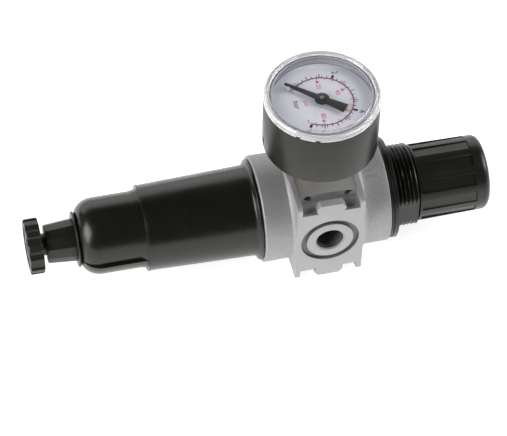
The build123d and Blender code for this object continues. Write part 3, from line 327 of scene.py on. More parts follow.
def printed(name, colour, roughness=0.5):
    """Printed or lacquered face with a trace of unevenness in its colour."""
    made, sheet, shader, coords = new_material(name, roughness)
    haze = sheet.noise(coords, 400.0, 2.0)
    sheet.put(shader.inputs["Base Color"], sheet.blend(haze, grade(colour, 0.96), grade(colour, 1.04)))
    return made


MATERIALS = {}


def make_materials(look):
    """One material for each of the record's slots, and the two printing inks."""
    MATERIALS.update(
        cast_body=cast_metal("blasted_casting", look.casting),
        black_plastic=plastic("satin_black_plastic", look.black, 0.34, lining=(0.22, 0.22, 0.25)),
        bowl_black=plastic("gloss_black_plastic", look.black, 0.27, grain=700.0, depth=0.0015),
        drain_grey=plastic("drain_black_plastic", look.drain, 0.36, grain=1800.0),
        acetal=plastic("white_acetal", (0.72, 0.71, 0.67), 0.35),
        seal_rubber=plastic("nitrile_rubber", (0.02, 0.02, 0.02), 0.55, grain=1500.0, depth=0.02),
        plated_steel=bright_metal("zinc_plated_steel", (0.62, 0.62, 0.60), 0.32),
        spring_steel=bright_metal("spring_steel", (0.48, 0.48, 0.49), 0.3),
        bare_aluminium=bright_metal("turned_aluminium", (0.74, 0.74, 0.76), 0.35),
        brass=bright_metal("turned_brass", (0.72, 0.55, 0.28), 0.27, axis="Z"),
        porous_filter=porous("sintered_filter", (0.85, 0.85, 0.82)),
        clear_window=clear_plastic("clear_window_plastic", (0.97, 0.97, 0.99)),
        dial_white=printed("dial_lacquer", look.dial),
        pointer_black=printed("pointer_lacquer", (0.012, 0.014, 0.012), 0.4),
        ink_black=printed("black_ink", (0.02, 0.02, 0.022)),
        ink_red=printed("red_ink", (0.42, 0.10, 0.14)),
    )


# ------------------------------------------------------------------ meshes
def mark_sharp(bm, angle):
    """Smooth faces with sharp edges wherever they turn by more than an angle."""
    for face in bm.faces:
        face.smooth = True
    for edge in bm.edges:
        edge.smooth = len(edge.link_faces) == 2 and edge.calc_face_angle(0.0) < radians(angle)


def add_object(name, bm, material, angle=32.0):
    """Object made of a finished bmesh, smooth but for its sharp edges."""
    bmesh.ops.recalc_face_normals(bm, faces=bm.faces)
    mark_sharp(bm, angle)
    mesh = bpy.data.meshes.new(name)
    bm.to_mesh(mesh)
    bm.free()
    mesh.materials.append(MATERIALS[material])
    made = bpy.data.objects.new(name, mesh)
    bpy.context.scene.collection.objects.link(made)
    return made


def baked(obj, angle=32.0):
    """Turns an object's modifiers into its plain mesh."""
    graph = bpy.context.evaluated_depsgraph_get()
    mesh = bpy.data.meshes.new_from_object(obj.evaluated_get(graph), depsgraph=graph)
    obj.modifiers.clear()
    obj.data = mesh
    bm = bmesh.new()
    bm.from_mesh(mesh)
    bmesh.ops.remove_doubles(bm, verts=bm.verts, dist=1e-7)
    bmesh.ops.dissolve_degenerate(bm, edges=bm.edges, dist=1e-7)
    mark_sharp(bm, angle)
    bm.to_mesh(mesh)
    bm.free()
    return obj


def bevelled(obj, width, segments=2, angle=25.0):
    """Rounds the sharp edges of an object."""
    edge = obj.modifiers.new("edges", "BEVEL")
    edge.width = width * MM
    edge.segments = segments
    edge.limit_method = "ANGLE"
    edge.angle_limit = radians(angle)
    edge.use_clamp_overlap = True
    return baked(obj)


def dressed(node, name, width, segments=2, angle=25.0):
    """Copy of a CAD node with joined faces and rounded edges, which stands in for it."""
    source = frame["nodes"][node]
    bm = bmesh.new()
    bm.from_mesh(source.data)
    bmesh.ops.remove_doubles(bm, verts=bm.verts, dist=2e-6)
    bmesh.ops.dissolve_limit(bm, angle_limit=radians(0.6), verts=bm.verts, edges=bm.edges)
    made = add_object(name, bm, SLOT_OF[node])
    bevelled(made, width, segments, angle)
    return settle(made, node)


def settle(made, node, *others):
    """Puts a piece in a CAD node's place: its body and what it stands for."""
    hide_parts(node, *others)
    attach(made, frame["nodes"][node]["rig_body"])
    return made


def softened(points, size, steps=3):
    """Profile whose corners are rounded. A point may carry its own size as a third number."""
    out = []
    count = len(points)
    for index, point in enumerate(points):
        here = Vector(point[:2])
        reach = point[2] if len(point) > 2 else size
        before = Vector(points[index - 1][:2])
        after = Vector(points[(index + 1) % count][:2])
        room = 0.45 * min((before - here).length, (after - here).length)
        reach = min(reach, room)
        turn = (here - before).angle(after - here, 0.0)
        if reach < 0.01 or turn < radians(4):
            out.append(here)
            continue
        start = here + (before - here).normalized() * reach
        end = here + (after - here).normalized() * reach
        for step in range(steps + 1):
            t = step / steps
            out.append(start * (1 - t) ** 2 + here * 2 * t * (1 - t) + end * t * t)
    return out


def on_main(station, radius, angle):
    """Point about the main axis; the angle runs from +Y towards +Z."""
    return Vector((station, radius * cos(angle), radius * sin(angle))) * MM


def on_gauge(station, radius, angle):
    """Point about the gauge axis; the angle runs from +X towards +Y."""
    return Vector((PORT_X + radius * cos(angle), radius * sin(angle), station)) * MM


def turned(bm, profile, place=on_main, angles=AROUND, radius=None):
    """Adds a closed turned shell. The profile is a closed loop of (station, radius) points.

    angles is a count, or a list of angles. radius(station, radius, angle) may reshape it."""
    if isinstance(angles, int):
        angles = [2 * pi * step / angles for step in range(angles)]
    rings = []
    for station, size in profile:
        if size < 1e-6:
            rings.append([bm.verts.new(place(station, 0, 0))] * len(angles))
            continue
        ring = []
        for angle in angles:
            here = radius(station, size, angle) if radius else size
            ring.append(bm.verts.new(place(station, here, angle)))
        rings.append(ring)
    for index, ring in enumerate(rings):
        after = rings[(index + 1) % len(rings)]
        for step in range(len(angles)):
            turn = (step + 1) % len(angles)
            corners = []
            for vert in (ring[step], ring[turn], after[turn], after[step]):
                if vert not in corners:
                    corners.append(vert)
            if len(corners) > 2:
                bm.faces.new(corners)
    return bm


def turned_piece(name, material, profile, **how):
    """Object turned from one closed profile."""
    bm = turned(bmesh.new(), profile, **how)
    return add_object(name, bm, material)


# ------------------------------------------------------------------ geometry nodes
def open_tree(name, inputs):
    """Geometry tree with named inputs. Returns its sheet and the sockets of its inputs."""
    tree = bpy.data.node_groups.new(name, "GeometryNodeTree")
    kinds = {int: "NodeSocketInt", float: "NodeSocketFloat", str: "NodeSocketMaterial"}
    tree.interface.new_socket("Geometry", in_out="INPUT", socket_type="NodeSocketGeometry")
    for label, default in inputs.items():
        socket = tree.interface.new_socket(label, in_out="INPUT", socket_type=kinds[type(default)])
        if not isinstance(default, str):
            socket.default_value = default
    tree.interface.new_socket("Geometry", in_out="OUTPUT", socket_type="NodeSocketGeometry")
    sheet = Sheet(tree)
    return sheet, sheet.add("NodeGroupInput").outputs


def close_tree(sheet, geometry, material):
    """Ends a tree in Realize Instances and Set Material."""
    whole = sheet.add("GeometryNodeRealizeInstances", {"Geometry": geometry}).outputs[0]
    done = sheet.add("GeometryNodeSetMaterial", {"Geometry": whole, "Material": material}).outputs[0]
    sheet.add("NodeGroupOutput", {"Geometry": done})
    return sheet.tree


def run_tree(obj, tree, values, angle=32.0):
    """Runs a geometry tree on an object with values for its named inputs, and keeps the mesh."""
    work = obj.modifiers.new(tree.name, "NODES")
    work.node_group = tree
    for item in tree.interface.items_tree:
        if item.in_out == "INPUT" and item.name in values:
            work[item.identifier] = values[item.name]
    return baked(obj, angle)


def empty_mesh(name, material):
    """Object without geometry, for a tree that makes its own."""
    return add_object(name, bmesh.new(), material)


def thread_tree():
    """Cuts a helical V thread into a plain cylinder about the main axis, then a flat along it."""
    names = {"Pitch": 1.5 * MM, "Depth": 1.0 * MM, "Start": 0.0, "End": 1.0, "Crest": 1.0, "Flat": 1.0}
    sheet, given = open_tree("panel_thread", {**names, "Material": ""})
    split = sheet.split(sheet.add("GeometryNodeInputPosition").outputs[0])
    angle = sheet.math("ARCTAN2", split["Z"], split["Y"])
    radius = sheet.length(split["Y"], split["Z"])
    turns = sheet.math("DIVIDE", sheet.math("SUBTRACT", split["X"], given["Start"]), given["Pitch"])
    phase = sheet.math("FRACT", sheet.math("SUBTRACT", turns, sheet.math("DIVIDE", angle, 2 * pi)))
    ridge = sheet.math("ABSOLUTE", sheet.math("SUBTRACT", sheet.math("MULTIPLY", phase, 2.0), 1.0))
    # The ridge runs from 0 at the root to 1 at the crest. Both ends are left flat.
    groove = sheet.ramp(ridge, 0.10, 0.88, 1.0, 0.0)
    near_start = sheet.ramp(split["X"], given["Start"], sheet.math("ADD", given["Start"], 0.5 * MM))
    near_end = sheet.ramp(
        split["X"], sheet.math("SUBTRACT", given["End"], 0.9 * MM), given["End"], 1.0, 0.0
    )
    fade = sheet.math("MULTIPLY", near_start, near_end)
    cut = sheet.math("MULTIPLY", sheet.math("MULTIPLY", groove, given["Depth"]), fade)
    on_crest = sheet.math("GREATER_THAN", radius, sheet.math("SUBTRACT", given["Crest"], 0.02 * MM))
    shrink = sheet.math("SUBTRACT", 1.0, sheet.math("DIVIDE", cut, radius))
    inside = sheet.math("LESS_THAN", split["X"], given["End"])
    used = sheet.math("MULTIPLY", on_crest, inside)
    factor = sheet.math("ADD", sheet.math("MULTIPLY", used, shrink), sheet.math("SUBTRACT", 1.0, used))
    across = sheet.math("MULTIPLY", split["Y"], factor)
    upward = sheet.math("MULTIPLY", split["Z"], factor)
    past = sheet.math("GREATER_THAN", split["X"], sheet.math("ADD", given["Start"], 0.02 * MM))
    clipped = sheet.math("MAXIMUM", across, sheet.math("MULTIPLY", given["Flat"], -1.0))
    flattened = sheet.choose(past, across, clipped)
    shaped = sheet.moved(given["Geometry"], split["X"], flattened, upward)
    return close_tree(sheet, shaped, given["Material"])


def scallop_tree():
    """Presses round scallops into a wheel about the main axis."""
    names = {"Count": 12, "Cutter": 2.0 * MM, "Circle": 11.0 * MM, "Phase": 0.0}
    sheet, given = open_tree("scallops", {**names, "Material": ""})
    split = sheet.split(sheet.add("GeometryNodeInputPosition").outputs[0])
    angle = sheet.math("SUBTRACT", sheet.math("ARCTAN2", split["Z"], split["Y"]), given["Phase"])
    share = sheet.math("DIVIDE", 2 * pi, given["Count"])
    near = sheet.math("PINGPONG", angle, sheet.math("MULTIPLY", share, 0.5))
    off = sheet.math("MULTIPLY", given["Circle"], sheet.math("SINE", near))
    along = sheet.math("MULTIPLY", given["Circle"], sheet.math("COSINE", near))
    room = sheet.math(
        "SUBTRACT",
        sheet.math("MULTIPLY", given["Cutter"], given["Cutter"]),
        sheet.math("MULTIPLY", off, off),
    )
    bite = sheet.math("SUBTRACT", along, sheet.math("SQRT", sheet.math("MAXIMUM", room, 0.0)))
    radius = sheet.length(split["Y"], split["Z"])
    used = sheet.math("GREATER_THAN", room, 0.0)
    kept = sheet.math("MINIMUM", sheet.math("DIVIDE", bite, sheet.math("MAXIMUM", radius, 1e-6)), 1.0)
    factor = sheet.choose(used, 1.0, kept)
    outward, upward = [sheet.math("MULTIPLY", split[axis], factor) for axis in "YZ"]
    shaped = sheet.moved(given["Geometry"], split["X"], outward, upward)
    return close_tree(sheet, shaped, given["Material"])


def marks_tree():
    """A row of flat printed marks on a circle about the gauge axis."""
    names = {
        "Count": 31,
        "From": 0.0,
        "Step": 0.1,
        "Radius": 0.01,
        "Length": 0.001,
        "Width": 0.0002,
        "Height": 0.05,
        "Centre X": 0.0,
    }
    sheet, given = open_tree("dial_marks", {**names, "Material": ""})
    order = sheet.add("GeometryNodeInputIndex").outputs[0]
    angle = sheet.math("SUBTRACT", given["From"], sheet.math("MULTIPLY", order, given["Step"]))
    across = sheet.math("MULTIPLY", given["Radius"], sheet.math("COSINE", angle))
    place = sheet.add(
        "ShaderNodeCombineXYZ",
        {
            "X": sheet.math("ADD", given["Centre X"], across),
            "Y": sheet.math("MULTIPLY", given["Radius"], sheet.math("SINE", angle)),
            "Z": given["Height"],
        },
    ).outputs[0]
    dots = sheet.add("GeometryNodePoints", {"Count": given["Count"], "Position": place}).outputs[0]
    size = sheet.add(
        "ShaderNodeCombineXYZ", {"X": given["Length"], "Y": given["Width"], "Z": PRINT_THICK * MM}
    ).outputs[0]
    dash = sheet.add("GeometryNodeMeshCube", {"Size": size}).outputs[0]
    turn = sheet.add("ShaderNodeCombineXYZ", {"Z": angle}).outputs[0]
    placed = sheet.add(
        "GeometryNodeInstanceOnPoints", {"Points": dots, "Instance": dash, "Rotation": turn}
    ).outputs[0]
    return close_tree(sheet, placed, given["Material"])


def spring_tree():
    """Round wire wound along the main axis."""
    names = {"Radius": 0.01, "Wire": 0.001, "Turns": 5.0, "Height": 0.02, "Start": 0.0}
    sheet, given = open_tree("coil_spring", {**names, "Material": ""})
    path = sheet.add(
        "GeometryNodeCurveSpiral",
        {
            "Resolution": 28,
            "Rotations": given["Turns"],
            "Start Radius": given["Radius"],
            "End Radius": given["Radius"],
            "Height": given["Height"],
        },
    ).outputs[0]
    wire = sheet.add("GeometryNodeCurvePrimitiveCircle", {"Resolution": 14, "Radius": given["Wire"]})
    solid = sheet.add(
        "GeometryNodeCurveToMesh", {"Curve": path, "Profile Curve": wire.outputs[0], "Fill Caps": True}
    ).outputs[0]
    lie = sheet.add(
        "GeometryNodeTransform",
        {
            "Geometry": solid,
            "Rotation": (0.0, pi / 2, 0.0),
            "Translation": sheet.add("ShaderNodeCombineXYZ", {"X": given["Start"]}).outputs[0],
        },
    ).outputs[0]
    smooth = sheet.add("GeometryNodeSetShadeSmooth", {"Geometry": lie}).outputs[0]
    return close_tree(sheet, smooth, given["Material"])


# ------------------------------------------------------------------ settings
class RegulatorFinish(bpy.types.PropertyGroup):
    casting: FloatVectorProperty(
        name="Casting", description="Blasted die-casting", subtype="COLOR", default=(0.425, 0.425, 0.435)
    )
    black: FloatVectorProperty(
        name="Black", description="Black mouldings", subtype="COLOR", default=(0.0085, 0.0095, 0.0055)
    )
    drain: FloatVectorProperty(
        name="Drain", description="Drain mouldings", subtype="COLOR", default=(0.0135, 0.0145, 0.0105)
    )
    dial: FloatVectorProperty(
        name="Dial", description="Dial face", subtype="COLOR", default=(0.50, 0.50, 0.54)
    )


class RegulatorCasting(bpy.types.PropertyGroup):
    edge: FloatProperty(
        name="Edge", description="Rounding of cast edges", default=0.22 * MM, unit="LENGTH"
    )


class RegulatorBonnet(bpy.types.PropertyGroup):
    pitch: FloatProperty(name="Pitch", description="Panel thread", default=1.5 * MM, unit="LENGTH")
    depth: FloatProperty(name="Depth", description="Thread depth", default=0.92 * MM, unit="LENGTH")
    flat: FloatProperty(
        name="Flat", description="Flat from the axis", default=13.5 * MM, unit="LENGTH"
    )


class RegulatorKnob(bpy.types.PropertyGroup):
    panels: IntProperty(name="Panels", description="Grip panels", default=12)
    width: FloatProperty(
        name="Panel width", description="Width of a panel", default=4.15 * MM, unit="LENGTH"
    )


class RegulatorBowl(bpy.types.PropertyGroup):
    ledges: IntProperty(name="Ledges", description="Grip ledges", default=4)
    phase: FloatProperty(
        name="Phase", description="Angle of a ledge", default=radians(95.0), subtype="ANGLE"
    )
    rise: FloatProperty(name="Rise", description="Height of a ledge", default=1.2 * MM, unit="LENGTH")


class RegulatorDrain(bpy.types.PropertyGroup):
    scallops: IntProperty(name="Scallops", description="Scallops of the wheel", default=12)


class RegulatorGauge(bpy.types.PropertyGroup):
    zero: FloatProperty(
        name="Zero", description="Angle of zero", default=radians(148.5), subtype="ANGLE"
    )
    per_bar: FloatProperty(
        name="Per bar", description="Travel for one bar", default=radians(45.0), subtype="ANGLE"
    )
    full_scale: IntProperty(name="Full scale", description="Highest reading in bar", default=6)


class RegulatorStage(bpy.types.PropertyGroup):
    azimuth: FloatProperty(
        name="Azimuth", description="Camera direction", default=radians(-14.02), subtype="ANGLE"
    )
    elevation: FloatProperty(
        name="Elevation", description="Camera height", default=radians(50.53), subtype="ANGLE"
    )
    roll: FloatProperty(name="Roll", description="Camera roll", default=radians(1.30), subtype="ANGLE")
    distance: FloatProperty(
        name="Distance", description="Camera distance", default=0.91559, unit="LENGTH"
    )


# ------------------------------------------------------------------ pieces
class REGULATOR_OT_casting(bpy.types.Operator):
    """Port block and barrel, with rounded cast edges."""

    bl_idname = "regulator.casting"
    bl_label = "Casting"

    def execute(self, context):
        edge = context.scene.regulator_casting.edge / MM
        dressed("body", "port_block", edge, segments=3)
        dressed("rear_plug", "rear_port_plug", 0.2)
        return {"FINISHED"}


class REGULATOR_OT_bonnet(bpy.types.Operator):
    """Bonnet with its flange, panel thread, flat and spring tower."""

    bl_idname = "regulator.bonnet"
    bl_label = "Bonnet"

    def execute(self, context):
        size = context.scene.regulator_bonnet
        bottom, top, flange_r = low("bonnet", "x"), high("bonnet", "x"), high("bonnet", "z")
        shoulder, thread_end, crest, tower = 0.0, 8.65, 15.0, 11.8
        skirt_r, skirt_in, groove = 16.9, 13.2, 0.45
        room_bottom, room_top, room_r, spindle_r = -6.5, 25.5, 9.9, 4.15
        body_top = high("body", "x")
        steps = 72
        threaded = [
            (shoulder + thread_end * step / steps, crest, 0.0) for step in range(1, steps)
        ]
        profile = softened(
            [
                (bottom, skirt_in),
                (bottom, skirt_r),
                (body_top, skirt_r),
                (body_top, flange_r - 0.5),
                (body_top + 0.35, flange_r),
                (body_top + 0.85, flange_r),
                (body_top + 1.0, flange_r - groove),
                (body_top + 1.25, flange_r - groove),
                (body_top + 1.4, flange_r),
                (shoulder, flange_r),
                (shoulder, crest, 0.0),
                *threaded,
                (thread_end, crest - 0.95, 0.0),
                (thread_end, tower),
                (top, tower),
                (top, spindle_r),
                (room_top, spindle_r),
                (room_top, room_r),
                (room_bottom, room_r),
                (room_bottom, skirt_in),
            ],
            0.22,
        )
        made = turned_piece("threaded_bonnet", "black_plastic", profile, angles=240)
        values = {
            "Pitch": size.pitch,
            "Depth": size.depth,
            "Start": shoulder * MM,
            "End": thread_end * MM - 1e-6,
            "Crest": crest * MM,
            "Flat": size.flat,
            "Material": MATERIALS["black_plastic"],
        }
        run_tree(made, thread_tree(), values, angle=20.0)
        settle(made, "bonnet")
        return {"FINISHED"}


class REGULATOR_OT_knob(bpy.types.Operator):
    """Adjusting knob: a cap with flat grip panels sunk into its skirt."""

    bl_idname = "regulator.knob"
    bl_label = "Knob"

    def execute(self, context):
        size = context.scene.regulator_knob
        base, top = low("adjusting_knob", "x"), high("adjusting_knob", "x")
        base_r, top_r, rounding = high("adjusting_knob", "y"), 13.8, 2.6
        floor_r, phase = 13.3, radians(20)
        half = atan2(size.width / MM / 2, floor_r)
        lip = radians(0.9)
        share = 2 * pi / size.panels
        panel_from, panel_to, slope = 10.1, 30.5, 0.18
        room_top, room_r, socket_bottom, socket_r = 32.6, 12.3, 29.0, 6.5
        bore_top, bore_r = 33.6, 4.1

        def skirt(station):
            return base_r + (top_r - base_r) * (station - base) / (top - rounding - base)

        outside = [(base, base_r - 1.0), (base, base_r)]
        stations = [panel_from - slope, panel_from]
        stations += [panel_from + (panel_to - panel_from) * step / 6 for step in range(1, 6)]
        stations += [panel_to, panel_to + slope]
        outside += [(station, skirt(station), 0.0) for station in stations]
        outside += [(top - rounding, top_r, 0.0)]
        for step in range(1, 8):
            turn = radians(90) * step / 8
            outside.append(
                (top - rounding * (1 - sin(turn)), top_r - rounding * (1 - cos(turn)), 0.0)
            )
        inside = [(top, 0.0), (bore_top, 0.0), (bore_top, bore_r), (socket_bottom, bore_r)]
        inside += [(socket_bottom, socket_r), (room_top, socket_r), (room_top, room_r), (base, room_r)]
        # The rounding of the base's inner edge starts one point late, next to the room.
        profile = softened(outside, 0.3)[1:] + [Vector((top, top_r - rounding))]
        profile += [Vector(point) for point in inside]
        angles = []
        for panel in range(size.panels):
            centre = phase + panel * share
            edges = [-half - lip, -half, -half * 0.5, 0.0, half * 0.5, half, half + lip]
            land = (share - 2 * (half + lip)) / 3
            edges += [half + lip + land, half + lip + 2 * land]
            angles += [centre + edge for edge in edges]

        def sink(station, radius, angle):
            inner = radius < room_r + 0.2
            if inner or not panel_from - TINY <= station <= panel_to + TINY:
                return radius
            near = (angle - phase + share / 2) % share - share / 2
            if abs(near) > half + TINY:
                return radius
            return min(radius, floor_r / cos(near))

        bm = turned(bmesh.new(), profile, angles=angles, radius=sink)
        made = add_object("grip_knob", bm, "black_plastic", angle=20.0)
        settle(made, "adjusting_knob")
        return {"FINISHED"}


class REGULATOR_OT_bowl(bpy.types.Operator):
    """Bowl: smooth tapered upper part, and a lower grip whose ledges run over the dome."""

    bl_idname = "regulator.bowl"
    bl_label = "Bowl"

    def execute(self, context):
        size = context.scene.regulator_bowl
        rise = size.rise / MM
        face, top = low("bowl", "x"), high("bowl", "x")
        rim_r = high("bowl", "y")
        step_at, step_r, dome_at, dome_r, face_r = -91.75, 15.75, -107.6, 14.4, 7.6
        rim_end, neck_r, neck_in, drain_r = -50.1, 15.7, 13.0, 5.1
        seal_from, seal_to, seal_r = -46.1, -43.9, 14.2
        room_from, room_top_r, room_to, room_low_r = -53.0, 14.2, -90.5, 13.6
        sump_r, sump_floor, sump_floor_r = 11.6, -113.0, 7.8
        dome = [Vector((face, drain_r))]
        steps = 14
        for step in range(steps + 1):
            turn = radians(90) * step / steps
            station = face + (dome_at - face) * (1 - cos(turn))
            radius = face_r + (dome_r - face_r) * sin(turn)
            dome.append(Vector((station, radius)))
        grip = [Vector((dome_at + (step_at - dome_at) * step / 6, dome_r)) for step in range(1, 7)]
        # The first point only steers the rounding of the next, and is dropped afterwards.
        upper = softened(
            [
                (step_at, dome_r - 0.02, 0.0),
                (step_at, step_r),
                (step_at + 0.75, step_r + 0.12, 0.12),
                (step_at + 0.9, step_r - 0.10, 0.05),
                (rim_end - 1.8, 16.7, 1.2),
                (rim_end - 0.8, rim_r, 0.2),
                (rim_end, rim_r),
                (rim_end, neck_r),
                (seal_from, neck_r),
                (seal_from, seal_r),
                (seal_to, seal_r),
                (seal_to, neck_r),
                (top, neck_r, 0.5),
                (top, neck_in),
                (room_from + 2.0, neck_in),
                (room_from, room_top_r),
                (room_to, room_low_r),
                (step_at - 0.6, sump_r),
                (dome_at, sump_r - 0.3),
                (sump_floor + 2.0, sump_r - 0.8),
                (sump_floor, sump_floor_r),
                (sump_floor, drain_r),
            ],
            0.25,
        )
        profile = dome + grip + upper[1:]
        share = 2 * pi / size.ledges
        angles = []
        fine, edge = 40, 0.004
        for ledge in range(size.ledges):
            begin = size.phase + ledge * share
            angles += [begin - edge, begin + edge]
            angles += [begin + share * step / fine for step in range(1, fine)]

        def grip_radius(station, radius, angle):
            outside_grip = station > step_at - 0.001 or not 7.0 <= radius <= dome_r + TINY
            in_sump = station > dome_at - 3.5 and radius <= sump_r + 0.1
            if outside_grip or in_sump:
                return radius
            fraction = ((angle - size.phase) % share) / share
            if fraction > 1 - 1.25 * edge / share:
                fraction = 1.0
            fall = min(1.0, (station - face) / (dome_at - face))
            return radius - rise * fraction * min(1.0, 0.35 + 0.65 * fall)

        bm = turned(bmesh.new(), profile, angles=angles, radius=grip_radius)
        made = add_object("filter_bowl", bm, "bowl_black", angle=28.0)
        settle(made, "bowl")
        return {"FINISHED"}


class REGULATOR_OT_drain(bpy.types.Operator):
    """Drain: washer, twelve-sided sleeve and scalloped wheel."""

    bl_idname = "regulator.drain"
    bl_label = "Drain"

    def execute(self, context):
        count = context.scene.regulator_drain.scallops
        dressed("drain_washer", "bowl_washer", 0.12)
        dressed("drain_sleeve", "faceted_sleeve", 0.14, angle=20.0)
        bottom, top = low("drain_knob", "x"), high("drain_knob", "x")
        wheel_top, wheel_r, bore_r = -128.3, 10.1, 2.06
        stem_r, collar_at, collar_r, dish = 4.0, -124.2, 4.6, 0.5
        profile = softened(
            [
                (bottom, bore_r),
                (bottom, 3.4),
                (bottom + dish, 3.9),
                (bottom + dish, 7.6),
                (bottom, 8.2),
                (bottom, wheel_r, 0.7),
                (wheel_top, wheel_r, 0.7),
                (wheel_top, stem_r, 0.35),
                (collar_at, stem_r),
                (collar_at, collar_r),
                (top, collar_r),
                (top, bore_r),
            ],
            0.15,
            steps=4,
        )
        made = turned_piece("drain_wheel", "drain_grey", profile, angles=count * 16)
        values = {
            "Count": count,
            "Cutter": 2.0 * MM,
            "Circle": (wheel_r + 1.0) * MM,
            "Phase": 0.0,
            "Material": MATERIALS["drain_grey"],
        }
        run_tree(made, scallop_tree(), values, angle=38.0)
        settle(made, "drain_knob")
        return {"FINISHED"}


class REGULATOR_OT_gauge_shell(bpy.types.Operator):
    """Gauge connection, case and clear snap-on window."""

    bl_idname = "regulator.gauge_shell"
    bl_label = "Gauge shell"

    def execute(self, context):
        dressed("gauge_case", "gauge_housing", 0.25)
        dressed("gauge_socket", "gauge_connection", 0.25)
        under, top = low("gauge_window", "z"), high("gauge_window", "z")
        rim_r, skirt_in, pane = high("gauge_window", "y"), 19.3, 1.05
        pane_top = top - 0.35
        notches = [radians(angle) for angle in (-128, -108)]
        notch_wide, notch_tall, notch_deep, lip = 1.4, 0.7, 0.8, radians(0.4)
        half = notch_wide / 2 / rim_r
        profile = softened(
            [
                (under, skirt_in),
                (under, rim_r),
                (under + notch_tall, rim_r, 0.0),
                (under + notch_tall + 0.1, rim_r, 0.0),
                (top - 0.9, rim_r),
                (top, rim_r - 0.7),
                (top, rim_r - 1.7),
                (top - 0.7, rim_r - 2.1),
                (top - 0.7, rim_r - 2.9),
                (pane_top, rim_r - 3.3),
                (pane_top, 0.0, 0.0),
                (pane_top - pane, 0.0, 0.0),
                (pane_top - pane, skirt_in),
            ],
            0.2,
        )
        angles = {2 * pi * step / AROUND - pi for step in range(AROUND)}
        for notch in notches:
            angles |= {notch + side * reach for side in (-1, 1) for reach in (half, half + lip)}

        def nick(station, radius, angle):
            near = min(abs(angle - notch) for notch in notches)
            below = station < under + notch_tall + 0.05
            cut = near <= half + TINY and below and radius > rim_r - 0.5
            return radius - notch_deep if cut else radius

        window = turned_piece(
            "snap_window", "clear_window", profile, place=on_gauge, angles=sorted(angles), radius=nick
        )
        settle(window, "gauge_window")
        window.visible_shadow = False
        return {"FINISHED"}


def written(name, text, height, radius, angle, turn, material):
    """Printed characters on the dial, centred at a place given by radius and angle."""
    curve = bpy.data.curves.new(name, "FONT")
    curve.body = text
    curve.size = height * 1.4 * MM
    curve.align_x = "CENTER"
    curve.align_y = "CENTER"
    curve.resolution_u = 3
    curve.extrude = PRINT_THICK / 2 * MM
    flat = bpy.data.objects.new(name, curve)
    bpy.context.scene.collection.objects.link(flat)
    graph = bpy.context.evaluated_depsgraph_get()
    mesh = bpy.data.meshes.new_from_object(flat.evaluated_get(graph), depsgraph=graph)
    bpy.data.objects.remove(flat)
    spot = Matrix.Translation(on_gauge(dial_level() + PRINT_THICK / 2, radius, angle))
    mesh.transform(spot @ Matrix.Rotation(turn, 4, "Z"))
    mesh.materials.clear()
    mesh.materials.append(MATERIALS[material])
    return mesh


def merged(name, meshes, material):
    """One object from several meshes."""
    bm = bmesh.new()
    for mesh in meshes:
        bm.from_mesh(mesh)
    bmesh.ops.remove_doubles(bm, verts=bm.verts, dist=1e-7)
    return add_object(name, bm, material)


def arc_band(bm, radius, width, start, end, level):
    """Adds a thin printed arc about the gauge axis."""
    steps = 96
    rings = []
    for step in range(steps + 1):
        angle = start + (end - start) * step / steps
        ring = []
        for size, lift in ((-0.5, 0.0), (0.5, 0.0), (0.5, 1.0), (-0.5, 1.0)):
            place = on_gauge(level + lift * PRINT_THICK, radius + size * width, angle)
            ring.append(bm.verts.new(place))
        rings.append(ring)
    for first, second in zip(rings, rings[1:]):
        for side in range(4):
            turn = (side + 1) % 4
            bm.faces.new((first[side], first[turn], second[turn], second[side]))
    bm.faces.new(rings[0])
    bm.faces.new(reversed(rings[-1]))
    return bm


